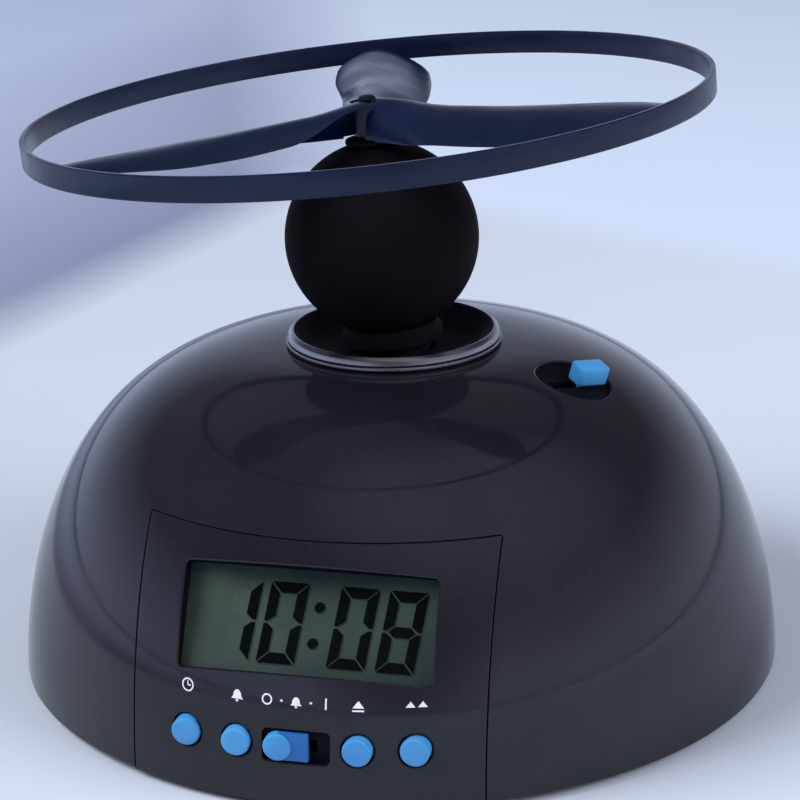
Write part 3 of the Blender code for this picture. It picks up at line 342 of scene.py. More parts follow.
COLLAR_LIP_Z = dome_height(CROWN_HOLE_R) + COLLAR_LIP_RISE
COLLAR_FLOOR_Z = COLLAR_LIP_Z - COLLAR_DISH
COLLAR_UNDER_Z = COLLAR_FLOOR_Z - COLLAR_THICK
PIVOT_Z = (COLLAR_FLOOR_Z + COLLAR_UNDER_Z) / 2.0
BASE_TOP = RIM_Z + BASE_THICK
FEATURE_CIRCLE_R = dome_radius(BASE_TOP, DOME_WALL) - 2.0 * GAP - RING_INSET
BALL_W = BALL_RISE / cos(HEAD_LEAN)
FLOOR_HALF = COLLAR_THICK / 2.0
ROCK_ROOM = NECK_SHOULDER_R * tan(HEAD_LEAN) + GAP


def ball_drop(radius, ball_radius=BALL_R):
    return sqrt(ball_radius ** 2 - radius ** 2)


BALL_HOLE_TOP_R = BUSH_SLEEVE_R + GAP
BALL_HOLE_LOW_R = NECK_R + GAP
BUSH_SEAT = BALL_W + ball_drop(BALL_HOLE_TOP_R) + GAP
BUSH_TOP = BUSH_SEAT + BUSH_FLANGE_THICK
HUB_LOW = BUSH_TOP + GAP
HUB_TOP = HUB_LOW + HUB_LENGTH
RING_W = HUB_LOW + RING_RISE


# Places

FRONT_TURN = Matrix.Rotation(pi / 2.0, 4, "X")
LCD_PLACE = (Matrix.Translation((0.0, -dome_radius(LCD_CENTRE_Z), LCD_CENTRE_Z))
             @ Matrix.Rotation(pi / 2.0 - LCD_LEAN, 4, "X"))
HEAD_PLACE = (Matrix.Translation((0.0, 0.0, PIVOT_Z))
              @ Matrix.Rotation(HEAD_LEAN, 4, Vector((-sin(HEAD_LEAN_AZIMUTH),
                                                      cos(HEAD_LEAN_AZIMUTH), 0.0))))


def front_place(x, z):
    """Frame on the panel's skin that faces the front: X to the right, Y up, Z out."""
    return Matrix.Translation((x, -dome_front(x, z), z)) @ FRONT_TURN


def launch_place():
    """Frame on the dome's skin: X along the slide, to the right and back, Z out of the skin."""
    rise = dome_height(LAUNCH_R - SLOPE_STEP) - dome_height(LAUNCH_R + SLOPE_STEP)
    lean = atan2(rise, 2.0 * SLOPE_STEP)
    outward = Vector((cos(LAUNCH_AZIMUTH), sin(LAUNCH_AZIMUTH), 0.0))
    along = Vector((-outward.y, outward.x, 0.0))
    normal = outward * sin(lean) + Vector((0.0, 0.0, cos(lean)))
    turn = Matrix((along, normal.cross(along), normal)).transposed().to_4x4()
    origin = outward * LAUNCH_R + Vector((0.0, 0.0, dome_height(LAUNCH_R)))
    return Matrix.Translation(origin) @ turn @ Matrix.Rotation(LAUNCH_TURN, 4, "Z")


def circle_spot(radius, degrees, z=0.0):
    turn = radians(degrees)
    return Matrix.Translation((radius * cos(turn), radius * sin(turn), z))


# Mesh helpers

def add_object(name, data):
    made = bpy.data.objects.new(name, data)
    bpy.context.scene.collection.objects.link(made)
    return made


def piece_from(form, place=None):
    """Turns a bmesh in millimetres into an object with outward faces."""
    bmesh.ops.recalc_face_normals(form, faces=form.faces)
    mesh = bpy.data.meshes.new("piece")
    form.to_mesh(mesh)
    form.free()
    if place:
        mesh.transform(place)
    return add_object("piece", mesh)


def skin_between(form, rings, closed=True):
    """Quads between rings of vertices. A ring of one vertex is a pole."""
    for ring, following in zip(rings, rings[1:]):
        if len(ring) == 1 and len(following) == 1:
            continue
        count = max(len(ring), len(following))
        for step in range(count if closed else count - 1):
            after = (step + 1) % count
            corners = [ring[0]] if len(ring) == 1 else [ring[step], ring[after]]
            corners += [following[0]] if len(following) == 1 else [following[after], following[step]]
            form.faces.new(corners)


def close_rings(form, rings):
    """Skin between rings, with a face over the first and the last."""
    skin_between(form, rings)
    form.faces.new(rings[0])
    form.faces.new(rings[-1])


def turned(outline, steps=SMALL_STEPS, place=None, start=0.0, sweep=TURN):
    """Turns a closed outline of (radius, height) points about Z, through the whole circle or a part of it."""
    form = bmesh.new()
    whole = sweep > TURN - TINY
    columns = steps if whole else steps + 1
    angles = [start + sweep * step / steps for step in range(columns)]
    rings = []
    for radius, height in outline:
        if radius <= 0.0:
            rings.append([form.verts.new((0.0, 0.0, height))])
        else:
            rings.append([form.verts.new((radius * cos(a), radius * sin(a), height)) for a in angles])
    skin_between(form, rings + rings[:1], whole)
    if not whole:
        form.faces.new([ring[0] for ring in rings])
        form.faces.new([ring[-1] for ring in rings])
    return piece_from(form, place)


def rod(radius, low, high, steps, place=None):
    return turned([(0.0, low), (radius, low), (radius, high), (0.0, high)], steps, place)


def rounded(corners, arcs=ARC_STEPS):
    """Closed outline whose corners (across, up, radius) are rounded."""
    outline = []
    for index, (across, up, radius) in enumerate(corners):
        here = Vector((across, up))
        before = Vector(corners[index - 1][:2]) - here
        after = Vector(corners[(index + 1) % len(corners)][:2]) - here
        if radius <= 0.0:
            outline.append((across, up))
            continue
        half = before.angle(after) / 2.0
        reach = min(radius / tan(half), 0.49 * before.length, 0.49 * after.length)
        bend = reach * tan(half)
        first = here + before.normalized() * reach
        last = here + after.normalized() * reach
        middle = here + (before.normalized() + after.normalized()).normalized() * bend / sin(half)
        turn = atan2(first.y - middle.y, first.x - middle.x)
        end = atan2(last.y - middle.y, last.x - middle.x)
        swing = (end - turn + pi) % TURN - pi
        for step in range(arcs + 1):
            angle = turn + swing * step / arcs
            outline.append((middle.x + bend * cos(angle), middle.y + bend * sin(angle)))
    return outline


def box_contour(half_x, half_y, corner, stride=2.0, arcs=6):
    """Points with outward normals round a box with rounded corners."""
    walk = []
    for side_x, side_y, start in ((1, 1, 0.0), (-1, 1, 90.0), (-1, -1, 180.0), (1, -1, 270.0)):
        middle = Vector((side_x * (half_x - corner), side_y * (half_y - corner)))
        for step in range(arcs + 1):
            angle = radians(start + 90.0 * step / arcs)
            normal = Vector((cos(angle), sin(angle)))
            walk.append((middle + normal * corner, normal))
    contour = []
    for (spot, normal), (following, next_normal) in zip(walk, walk[1:] + walk[:1]):
        contour.append((spot, normal))
        run = (following - spot).length
        if (normal - next_normal).length < TINY and run > stride:
            parts = ceil(run / stride)
            contour += [(spot.lerp(following, part / parts), normal) for part in range(1, parts)]
    return contour


def circle_contour(radius, steps=SMALL_STEPS):
    normals = [Vector((cos(a), sin(a))) for a in round_turn(steps)]
    return [(normal * radius, normal) for normal in normals]


def sleeve(contour, profile, place):
    """Solid round a contour, by steps of (offset, height, on_skin): on_skin heights count from the skin."""
    form = bmesh.new()
    rings = []
    for offset, height, on_skin in profile:
        ring = []
        for spot, normal in contour:
            point = spot + normal * offset
            level = height + (skin_level(place, point) if on_skin else 0.0)
            ring.append(form.verts.new((point.x, point.y, level)))
        rings.append(ring)
    close_rings(form, rings)
    return piece_from(form, place)


def mouth(edge, low, high, floor_edge=0.0):
    """Profile of a cutter that leaves a rounded edge on the skin and a small fillet at its floor."""
    profile = [] if floor_edge else [(0.0, low, False)]
    if floor_edge:
        for angle in evenly(0.0, pi / 2.0, ARC_STEPS):
            profile.append((-floor_edge * (1.0 - sin(angle)), low + floor_edge * (1.0 - cos(angle)), False))
    for angle in evenly(0.0, MOUTH_TURN, ARC_STEPS):
        profile.append((edge * (1.0 - cos(angle)), edge * (sin(angle) - 1.0), True))
    profile.append((edge * MOUTH_REACH, edge * MOUTH_RISE, True))
    profile.append((edge * MOUTH_REACH, high, False))
    return profile


def block(low, high, place=None, bevel=0.0, bevel_steps=3):
    form = bmesh.new()
    size = [b - a for a, b in zip(low, high)]
    centre = [(a + b) / 2.0 for a, b in zip(low, high)]
    bmesh.ops.create_cube(form, size=1.0, matrix=Matrix.Translation(centre) @ Matrix.Diagonal((*size, 1.0)))
    if bevel:
        bmesh.ops.bevel(form, geom=list(form.edges), offset=bevel, segments=bevel_steps, profile=0.5,
                        affect="EDGES")
    return piece_from(form, place)


def stem_block(low, high, place, travel=0.0, room=0.0):
    """Block of a slide's stem, or with its travel and room the slot that it runs in."""
    half_x = (STEM_LENGTH + travel) / 2.0 + room
    half_y = STEM_WIDTH / 2.0 + room
    return block((-half_x, -half_y, low), (half_x, half_y, high), place)


def shape_by(target, tool, how):
    """Applies a boolean to target. The tool is used up."""
    change = target.modifiers.new(how, "BOOLEAN")
    change.operation = how
    change.object = tool
    graph = bpy.context.evaluated_depsgraph_get()
    shaped = bpy.data.meshes.new_from_object(target.evaluated_get(graph))
    target.modifiers.clear()
    target.data = shaped
    bpy.data.objects.remove(tool, do_unlink=True)
    return target


def cut(target, tool):
    return shape_by(target, tool, "DIFFERENCE")


def join(target, tool):
    return shape_by(target, tool, "UNION")


def gather(pieces):
    """One object of several pieces that touch or stand apart."""
    form = bmesh.new()
    for piece in pieces:
        form.from_mesh(piece.data)
        bpy.data.objects.remove(piece, do_unlink=True)
    return piece_from(form)


def follow_skin(mesh):
    """Gives corners on the dome's skin the dome's own normal, so that cuts leave no marks in the gloss."""
    points = np.empty(len(mesh.vertices) * 3, np.float64)
    mesh.vertices.foreach_get("co", points)
    points = points.reshape(-1, 3) / MM
    across = np.hypot(points[:, 0], points[:, 1])
    up = np.maximum(points[:, 2], TINY)
    value = (across / DOME_R) ** DOME_POWER_R + (up / DOME_CURVE_H) ** DOME_POWER_Z - 1.0
    pull = DOME_POWER_R / DOME_R * (across / DOME_R) ** (DOME_POWER_R - 1.0)
    lift = DOME_POWER_Z / DOME_CURVE_H * (up / DOME_CURVE_H) ** (DOME_POWER_Z - 1.0)
    slope = np.stack([pull * points[:, 0] / np.maximum(across, TINY),
                      pull * points[:, 1] / np.maximum(across, TINY), lift], axis=1)
    length = np.linalg.norm(slope, axis=1)
    near = np.abs(value / length) < NEAR_SKIN
    slope /= length[:, None]
    normals = np.empty(len(mesh.loops) * 3, np.float32)
    mesh.corner_normals.foreach_get("vector", normals)
    normals = normals.reshape(-1, 3)
    for face in mesh.polygons:
        corners = list(face.vertices)
        if not near[corners].all() or slope[corners].mean(axis=0) @ np.array(face.normal) < ALONG_SKIN:
            continue
        for loop, corner in zip(face.loop_indices, corners):
            normals[loop] = slope[corner]
    mesh.normals_split_custom_set(normals.tolist())


def dress(piece, name, body, slot, nodes=(), looks="", angle=SHARP_ANGLE, on_skin=False):
    """Names a finished piece, turns it to metres, shades it, ties it to its body, and hides the CAD nodes
    that it stands in for.

    Its looks are its slot's own unless others are named.
    """
    piece.name = name
    piece.data.name = name
    piece.data.transform(Matrix.Scale(MM, 4))
    piece.data.shade_smooth()
    piece.data.set_sharp_from_angle(angle=radians(angle))
    if on_skin:
        follow_skin(piece.data)
    piece.data.materials.clear()
    piece.data.materials.append(LOOKS[looks or slot])
    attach(piece, body)
    if nodes:
        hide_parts(*nodes)


# Materials

LOOKS = {}
DETAIL_FACTOR = 2.3
SPECK_SCALE = 1500.0
SCRATCH_SCALE = 260.0
SCRATCH_STRETCH = (9.0, 0.6, 3.0)
RELIEF_DEPTH = 0.0002
DUST = (0.45, 0.47, 0.52)
BLUE_DUST = (0.6, 0.7, 0.85)


def start_looks(name):
    made = bpy.data.materials.new(name)
    made.use_nodes = True
    tree = made.node_tree
    return made, tree, tree.nodes["Principled BSDF"]


def set_inputs(node, **values):
    """Sets a node's inputs by their names, written with _ for each space."""
    for key, value in values.items():
        node.inputs[key.replace("_", " ")].default_value = value
    return node


def add_node(tree, kind, **values):
    return set_inputs(tree.nodes.new(kind), **values)


def noise_at(tree, scale, detail=3.0, stretch=(1.0, 1.0, 1.0)):
    """Noise in the object's own coordinates, which are metres."""
    spot = tree.nodes.new("ShaderNodeTexCoord")
    mapping = add_node(tree, "ShaderNodeMapping", Scale=stretch)
    tree.links.new(spot.outputs["Object"], mapping.inputs["Vector"])
    noise = add_node(tree, "ShaderNodeTexNoise", Scale=scale, Detail=detail)
    tree.links.new(mapping.outputs["Vector"], noise.inputs["Vector"])
    return noise.outputs["Fac"]


def spread(tree, source, low, high, from_low=0.35, from_high=0.65):
    """Stretches a span of values to the span from low to high."""
    node = add_node(tree, "ShaderNodeMapRange", From_Min=from_low, From_Max=from_high, To_Min=low,
                    To_Max=high)
    tree.links.new(source, node.inputs["Value"])
    return node.outputs["Result"]


def blend_colours(tree, factor, first, second):
    node = tree.nodes.new("ShaderNodeMix")
    node.data_type = "RGBA"
    for socket, value in ((6, first), (7, second)):
        if isinstance(value, tuple):
            node.inputs[socket].default_value = (*value, 1.0)
        else:
            tree.links.new(value, node.inputs[socket])
    tree.links.new(factor, node.inputs[0])
    return node.outputs[2]


def work_out(tree, operation, first, second):
    node = tree.nodes.new("ShaderNodeMath")
    node.operation = operation
    tree.links.new(first, node.inputs[0])
    tree.links.new(second, node.inputs[1])
    return node.outputs[0]


def surface(tree, shader, base, roughness, height, bump, depth=RELIEF_DEPTH):
    """Ties colour, roughness and relief to the shader."""
    tree.links.new(base, shader.inputs["Base Color"])
    tree.links.new(roughness, shader.inputs["Roughness"])
    relief = add_node(tree, "ShaderNodeBump", Strength=bump, Distance=depth)
    tree.links.new(height, relief.inputs["Height"])
    tree.links.new(relief.outputs["Normal"], shader.inputs["Normal"])


def plastic(name, colour, tint, roughness, roughness_spread=0.05, grain=900.0, bump=0.02, patches=45.0,
            dust=0.0, dust_colour=DUST, metallic=0.0, specular=0.5, scratches=0.0):
    """Moulded plastic or metal: two tones in soft patches, uneven roughness, fine grain, dust, scratches."""
    made, tree, shader = start_looks(name)
    tone = spread(tree, noise_at(tree, patches, 4.0), 0.0, 1.0)
    base = blend_colours(tree, tone, colour, tint)
    worn = spread(tree, noise_at(tree, patches * DETAIL_FACTOR, 5.0), roughness - roughness_spread,
                  roughness + roughness_spread)
    if dust:
        specks = spread(tree, noise_at(tree, SPECK_SCALE, 2.0), 0.0, dust, 0.62, 0.74)
        base = blend_colours(tree, specks, base, dust_colour)
    height = noise_at(tree, grain)
    if scratches:
        lines = spread(tree, noise_at(tree, SCRATCH_SCALE, 2.0, SCRATCH_STRETCH), 0.0, scratches, 0.6, 0.66)
        height = work_out(tree, "SUBTRACT", height, lines)
    surface(tree, shader, base, worn, height, bump)
    set_inputs(shader, Metallic=metallic, Specular_IOR_Level=specular)
    made.diffuse_color = (*colour, 1.0)
    LOOKS[name] = made


plastic("dome_gloss", (0.0075, 0.0070, 0.0105), (0.0115, 0.0108, 0.0155), 0.085, 0.02, 700.0, 0.02, 30.0,
        dust=0.012, specular=0.4, scratches=0.3)
plastic("panel_gloss", (0.0070, 0.0068, 0.0100), (0.0105, 0.0100, 0.0145), 0.075, 0.02, 700.0, 0.02, 30.0,
        dust=0.010, specular=0.4, scratches=0.3)
plastic("collar_gloss", (0.006, 0.0056, 0.0075), (0.010, 0.009, 0.012), 0.14, 0.04, 900.0, 0.03, 60.0,
        dust=0.012)
plastic("head_matt", (0.0046, 0.0040, 0.0054), (0.0066, 0.0058, 0.0078), 0.72, 0.07, 2200.0, 0.10, 50.0,
        dust=0.003, specular=0.03)
plastic("rotor_plastic", (0.0028, 0.0062, 0.0230), (0.0052, 0.0100, 0.0340), 0.28, 0.07, 1100.0, 0.05, 40.0,
        dust=0.004, specular=0.28)
plastic("lip_silver", (0.23, 0.235, 0.25), (0.32, 0.325, 0.34), 0.24, 0.07, 700.0, 0.03, 60.0, metallic=1.0,
        scratches=0.3)
# Painted shade: a darker matt black for the faces in recesses and in the collar's dish under the ball.
plastic("recess_painted_shade", (0.0030, 0.0036, 0.0055), (0.0050, 0.0060, 0.0085), 0.70, 0.07, 2200.0, 0.10, 50.0,
        specular=0.05)
plastic("cap_dark", (0.004, 0.0045, 0.008), (0.007, 0.008, 0.013), 0.5, 0.06, 1500.0, 0.05, specular=0.15)
plastic("button_blue", (0.042, 0.235, 0.53), (0.058, 0.285, 0.59), 0.40, 0.06, 1600.0, 0.05, 120.0,
        dust=0.02, dust_colour=BLUE_DUST)
# Painted shade: a darker copy of the blue for the lower square part of the alarm knob.
plastic("knob_blue_painted_shade", (0.011, 0.105, 0.34), (0.017, 0.14, 0.41), 0.38, 0.06, 1600.0, 0.05, 120.0,
        dust=0.02, dust_colour=BLUE_DUST)
plastic("inner_plastic", (0.62, 0.62, 0.60), (0.70, 0.70, 0.66), 0.48, 0.08, 900.0, 0.05)
plastic("board", (0.016, 0.11, 0.045), (0.03, 0.16, 0.06), 0.42, 0.08, 1200.0, 0.08, 160.0)
plastic("steel", (0.52, 0.52, 0.54), (0.66, 0.66, 0.68), 0.30, 0.10, 1400.0, 0.08, 200.0, metallic=1.0,
        scratches=0.6)
plastic("base_plastic", (0.012, 0.012, 0.014), (0.020, 0.020, 0.023), 0.55, 0.08, 2400.0, 0.16, 50.0,
        dust=0.06)
plastic("foot_rubber", (0.016, 0.016, 0.016), (0.028, 0.028, 0.027), 0.82, 0.08, 1800.0, 0.2, 90.0,
        dust=0.12)
plastic("cell_jacket", (0.05, 0.05, 0.07), (0.12, 0.12, 0.14), 0.32, 0.08, 900.0, 0.04, 80.0, metallic=0.3)
plastic("label_white", (0.62, 0.64, 0.70), (0.78, 0.80, 0.85), 0.55, 0.08, 2600.0, 0.12, 900.0)


def display_looks(name, colour, tint, coat=0.05, specular=0.15):
    """Liquid crystal cell: mottled tone under a clear polished front."""
    made, tree, shader = start_looks(name)
    tone = spread(tree, noise_at(tree, 38.0), 0.0, 1.0)
    fine = spread(tree, noise_at(tree, 5200.0, 2.0), 0.0, 0.16, 0.3, 0.7)
    base = blend_colours(tree, tone, colour, tint)
    base = blend_colours(tree, fine, base, tuple(0.6 * (a + b) for a, b in zip(colour, tint)))
    worn = spread(tree, noise_at(tree, 300.0, 4.0), 0.34, 0.46)
    surface(tree, shader, base, worn, noise_at(tree, 1200.0, 2.0), 0.02, RELIEF_DEPTH / 2.0)
    set_inputs(shader, Specular_IOR_Level=specular, Coat_Weight=coat, Coat_Roughness=0.06)
    made.diffuse_color = (*colour, 1.0)
    LOOKS[name] = made


display_looks("display", (0.054, 0.078, 0.063), (0.030, 0.045, 0.044))
display_looks("segment_on", (0.0016, 0.0024, 0.0036), (0.0026, 0.0038, 0.0052), 0.0, 0.04)
display_looks("segment_shade", (0.030, 0.043, 0.036), (0.018, 0.027, 0.027), 0.0)
display_looks("segment_off", (0.052, 0.075, 0.061), (0.029, 0.0435, 0.0425))


# Dome, panel and display

def dome_shell():
    """Shell with a rounded rim and crown, screw bosses, and the openings for panel and launch knob."""
    outer = dome_curve(RIM_Z + 2.0 * RIM_ROUND, CROWN_HOLE_R + EDGE, SKIN_STEPS)
    inner = dome_curve(RIM_Z + RIM_ROUND, CROWN_HOLE_R, LINING_STEPS, DOME_WALL)
    rim = [(dome_radius(RIM_Z, DOME_WALL), RIM_Z, RIM_ROUND / 2.0), (dome_radius(RIM_Z), RIM_Z, RIM_ROUND)]
    crown = [(CROWN_HOLE_R, dome_height(CROWN_HOLE_R), CROWN_ROUND)]
    corners = rim + [(*point, 0.0) for point in outer] + crown + [(*point, 0.0) for point in inner[::-1]]
    shell = turned(rounded(corners), ROUND_STEPS)
    limit = [(0.0, 0.0), *dome_curve(RIM_Z, CROWN_HOLE_R, LINING_STEPS, DOME_WALL / 2.0), (0.0, LIMIT_TOP)]
    for degrees in BOSS_ANGLES:
        place = circle_spot(FEATURE_CIRCLE_R, degrees)
        boss = rod(BOSS_R, BASE_TOP + GAP, DOME_CURVE_H, SCREW_STEPS, place)
        shape_by(boss, turned(limit, MIDDLE_STEPS), "INTERSECT")
        cut(boss, rod(SCREW_HOLE_R, 0.0, BASE_TOP + SCREW_LENGTH, SCREW_STEPS, place))
        join(shell, boss)
    cut_panel_opening(shell)
    cut_launch_pocket(shell)
    dress(shell, "dome_shell", "base", "dome_gloss", ("upper_shell",), on_skin=True)
    # Painted shade on the faces in the shell's recesses.
    paint_recess_shade(shell)


def paint_recess_shade(piece):
    """Painted shade: a darker matt look for the faces that lie under the dome's skin."""
    piece.data.materials.append(LOOKS["recess_painted_shade"])
    for face in piece.data.polygons:
        if dome_value(face.center / MM) < RECESS_VALUE:
            face.material_index = 1


def cut_panel_opening(shell):
    """Opening with a rounded edge, from below the rim up to the panel's top."""
    half_y = (PANEL_TOP - OPENING_LOW) / 2.0
    place = Matrix.Translation((0.0, -DOME_R, OPENING_LOW + half_y)) @ FRONT_TURN
    contour = box_contour(PANEL_WIDTH / 2.0 + SEAM / 2.0, half_y - SEAM / 2.0, OPENING_CORNER, PANEL_STRIDE)
    cut(shell, sleeve(contour, mouth(SEAM_EDGE, -OPENING_DEEP, CUT_TALL), place))


def cut_launch_pocket(shell):
    place = launch_place()
    profile = mouth(EDGE, -LAUNCH_POCKET_DEPTH, CUT_SHORT, POCKET_FILLET)
    cut(shell, sleeve(circle_contour(LAUNCH_POCKET_R, POCKET_STEPS), profile, place))
    cut(shell, stem_block(STEM_LOW, 0.0, place, LAUNCH_TRAVEL, GAP))


def edge_steps(low, high, edge, stride):
    """Positions from low to high that crowd towards both ends, each with its drop from the rounded edge."""
    start = [(low + edge * (1.0 - cos(a)), edge * (1.0 - sin(a))) for a in evenly(0.0, pi / 2.0, ARC_STEPS)]
    end = [(high - (spot - low), drop) for spot, drop in reversed(start)]
    first = low + edge
    last = high - edge
    middle = [(spot, 0.0) for spot in evenly(first, last, ceil((last - first) / stride))[1:-1]]
    return start + middle + end


def panel_patch():
    """Curved patch of the dome with rounded edges all round."""
    form = bmesh.new()
    columns = edge_steps(-PANEL_WIDTH / 2.0, PANEL_WIDTH / 2.0, SEAM_EDGE, PANEL_STRIDE)
    rows = edge_steps(RIM_Z, PANEL_TOP - SEAM, SEAM_EDGE, PANEL_STRIDE)
    outer = []
    for z, drop_z in rows:
        line = []
        for x, drop_x in columns:
            drop = min(drop_x + drop_z, SEAM_EDGE)
            line.append(form.verts.new((x, -dome_front(x, z, drop), z)))
        outer.append(line)
    inner = [[form.verts.new((x, -dome_front(x, z, DOME_WALL), z)) for x, _ in columns] for z, _ in rows]
    for sheet in (outer, inner):
        skin_between(form, sheet, False)
    for front, back in ((outer[0], inner[0]), (outer[-1], inner[-1]),
                        ([line[0] for line in outer], [line[0] for line in inner]),
                        ([line[-1] for line in outer], [line[-1] for line in inner])):
        skin_between(form, [front, back], False)
    return piece_from(form)


def window_contour(grow):
    return box_contour(WINDOW_WIDTH / 2.0 + grow, WINDOW_HEIGHT / 2.0 + grow, WINDOW_CORNER + grow / 2.0,
                       WINDOW_STRIDE)


def front_panel():
    """Curved panel with the display's window, the button holes, and the pocket and slot of the alarm knob."""
    panel = panel_patch()
    tube = [(0.0, -1.5 * LCD_DEPTH, False), (0.0, -DOME_WALL / 2.0, True)]
    join(panel, sleeve(window_contour(WINDOW_FRAME), tube, LCD_PLACE))
    cut(panel, sleeve(window_contour(0.0), mouth(EDGE, -3.0 * LCD_DEPTH, CUT_TALL), LCD_PLACE))
    room_x = WINDOW_WIDTH / 2.0 + LCD_MARGIN + LCD_ROOM
    room_y = WINDOW_HEIGHT / 2.0 + LCD_MARGIN + LCD_ROOM
    cut(panel, block((-room_x, -room_y, -LCD_BEHIND), (room_x, room_y, -LCD_DEPTH - GAP / 2.0), LCD_PLACE))
    hole = mouth(BUTTON_EDGE, -BUTTON_DEPTH, CUT_SHORT)
    for x in BUTTONS.values():
        cut(panel, sleeve(circle_contour(BUTTON_R + BUTTON_CLEAR), hole, front_place(x, BUTTON_Z)))
    place = front_place(0.0, BUTTON_Z)
    contour = box_contour((KNOB_LENGTH + SLIDE_TRAVEL) / 2.0 + GAP, KNOB_HEIGHT / 2.0 + GAP, SLIDE_CORNER,
                          SLIDE_STRIDE)
    cut(panel, sleeve(contour, mouth(BUTTON_EDGE, -SLIDE_POCKET, CUT_SHORT, SLIDE_FILLET), place))
    cut(panel, stem_block(-BUTTON_DEPTH, 0.0, place, SLIDE_TRAVEL, GAP))
    dress(panel, "panel", "base", "panel_gloss", ("front_panel",), on_skin=True)
    # Painted shade on the faces in the panel's recesses.
    paint_recess_shade(panel)


def segment_shapes():
    """Outlines of the seven segments round the digit's own centre, by their usual letters."""
    half = DIGIT_WIDTH / 2.0
    tall = DIGIT_HEIGHT / 2.0
    stroke = DIGIT_STROKE
    gap = DIGIT_GAP
    top = [(gap - half, tall), (half - gap, tall), (half - stroke - gap, tall - stroke),
           (stroke + gap - half, tall - stroke)]
    upper = [(half, tall - gap), (half, gap), (half - 0.35 * stroke, gap),
             (half - stroke, stroke / 2.0 + gap), (half - stroke, tall - stroke - gap)]
    bar = [(0.45 * stroke + gap - half, 0.0), (stroke + gap - half, stroke / 2.0),
           (half - stroke - gap, stroke / 2.0), (half - 0.45 * stroke - gap, 0.0),
           (half - stroke - gap, -stroke / 2.0), (stroke + gap - half, -stroke / 2.0)]
    return {
        "a": top, "b": upper, "c": [(x, -y) for x, y in upper], "d": [(x, -y) for x, y in top],
        "e": [(-x, -y) for x, y in upper], "f": [(-x, y) for x, y in upper], "g": bar,
    }


def plate_shape(points, top, spot):
    """Thin prism on the display over a flat outline, leaning with the digits."""
    form = bmesh.new()
    flat = [(x + spot[0] + DIGIT_SLANT * y, y + spot[1]) for x, y in points]
    close_rings(form, [[form.verts.new((*point, level)) for point in flat] for level in (DIGIT_FLOOR, top)])
    return piece_from(form, LCD_PLACE)


def display():
    """Liquid crystal cell with the time, its soft shadow and the faint segments that are off."""
    half_x = WINDOW_WIDTH / 2.0 + LCD_MARGIN
    half_y = WINDOW_HEIGHT / 2.0 + LCD_MARGIN
    cell = block((-half_x, -half_y, LCD_FRONT - LCD_THICK), (half_x, half_y, LCD_FRONT - LCD_EDGE), LCD_PLACE,
                 LCD_EDGE)
    dress(cell, "display_cell", "base", "display", ("display_glass",))
    lit, shade, unlit = [], [], []
    dot = [(COLON_R * spot.x, COLON_R * spot.y) for spot, _ in circle_contour(1.0, COLON_STEPS)]
    shown = [(points, (centre, DIGIT_LEVEL), letter in LIT[figure])
             for figure, centre in zip("1008", DIGIT_CENTRES) for letter, points in segment_shapes().items()]
    for points, spot, is_lit in shown + [(dot, spot, True) for spot in COLON_SPOTS]:
        if is_lit:
            lit.append(plate_shape(points, LIT_TOP, spot))
            shade.append(plate_shape(points, SHADE_TOP, (spot[0] + SHADE_SHIFT[0], spot[1] + SHADE_SHIFT[1])))
        else:
            unlit.append(plate_shape(points, UNLIT_TOP, spot))
    for name, group, looks in (("digits", lit, "segment_on"), ("digit_shadows", shade, "segment_shade"),
                               ("digits_off", unlit, "segment_off")):
        dress(gather(group), name, "base", "display", looks=looks)


def on_panel(points, centre_x, centre_z):
    """Thin raised print over a flat outline on the panel's skin."""
    form = bmesh.new()
    spots = [(centre_x + x, centre_z + y) for x, y in points]
    close_rings(form, [[form.verts.new((x, -dome_front(x, z) - rise, z)) for x, z in spots]
                       for rise in (-SIGN_LOW, SIGN_PROUD)])
    return piece_from(form)


def ring_sign(x, radius, stroke):
    """Ring of short bars."""
    inner = radius - stroke
    signs = []
    angles = evenly(0.0, TURN, RING_PARTS)
    for first, last in zip(angles, angles[1:]):
        corners = ((radius, first), (radius, last), (inner, last), (inner, first))
        signs.append(on_panel([(reach * cos(a), reach * sin(a)) for reach, a in corners], x, SIGN_Z))
    return signs


def bell_sign(x, size):
    """Filled bell with its clapper."""
    clapper = [(CLAPPER_HALF * cos(a), CLAPPER_TALL * sin(a) - CLAPPER_DROP)
               for a in round_turn(CLAPPER_STEPS)]
    return [on_panel([(size * a, size * b) for a, b in shape], x, SIGN_Z) for shape in (BELL, clapper)]


def labels():
    """Plain signs where the printed words are: a clock face, bells, off and on, and arrow heads."""
    signs = [sign for ring in SIGN_RINGS for sign in ring_sign(*ring)]
    signs += [sign for bell in SIGN_BELLS for sign in bell_sign(*bell)]
    for x, rise, half_x, half_z in SIGN_BARS:
        corners = [(half_x, half_z), (-half_x, half_z), (-half_x, -half_z), (half_x, -half_z)]
        signs.append(on_panel(corners, x, SIGN_Z + rise))
    signs += [on_panel([(size * a, size * b) for a, b in ARROW], x, SIGN_Z) for x, size in SIGN_ARROWS]
    dress(gather(signs), "labels", "base", "panel_gloss", looks="label_white")


def buttons():
    """Round buttons with a flange behind the panel and a stem to their switch."""
    outline = rounded([(0.0, BUTTON_FLANGE_LOW, 0.0), (BUTTON_FLANGE_R, BUTTON_FLANGE_LOW, 0.2),
                       (BUTTON_FLANGE_R, BUTTON_FLANGE_TOP, 0.2), (BUTTON_R, BUTTON_FLANGE_TOP, 0.0),
                       (BUTTON_R, BUTTON_PROUD - 0.08, 0.45), (BUTTON_STEM_R, BUTTON_PROUD - 0.01, 0.0),
                       (0.0, BUTTON_PROUD, 0.0)])
    for name, x in BUTTONS.items():
        place = front_place(x, BUTTON_Z)
        stem = rod(BUTTON_STEM_R, BUTTON_STEM_LOW, BUTTON_STEM_TOP, SCREW_STEPS, place)
        piece = join(turned(outline, SMALL_STEPS, place), stem)
        dress(piece, name + "_cap", name, "button_blue", (name,))


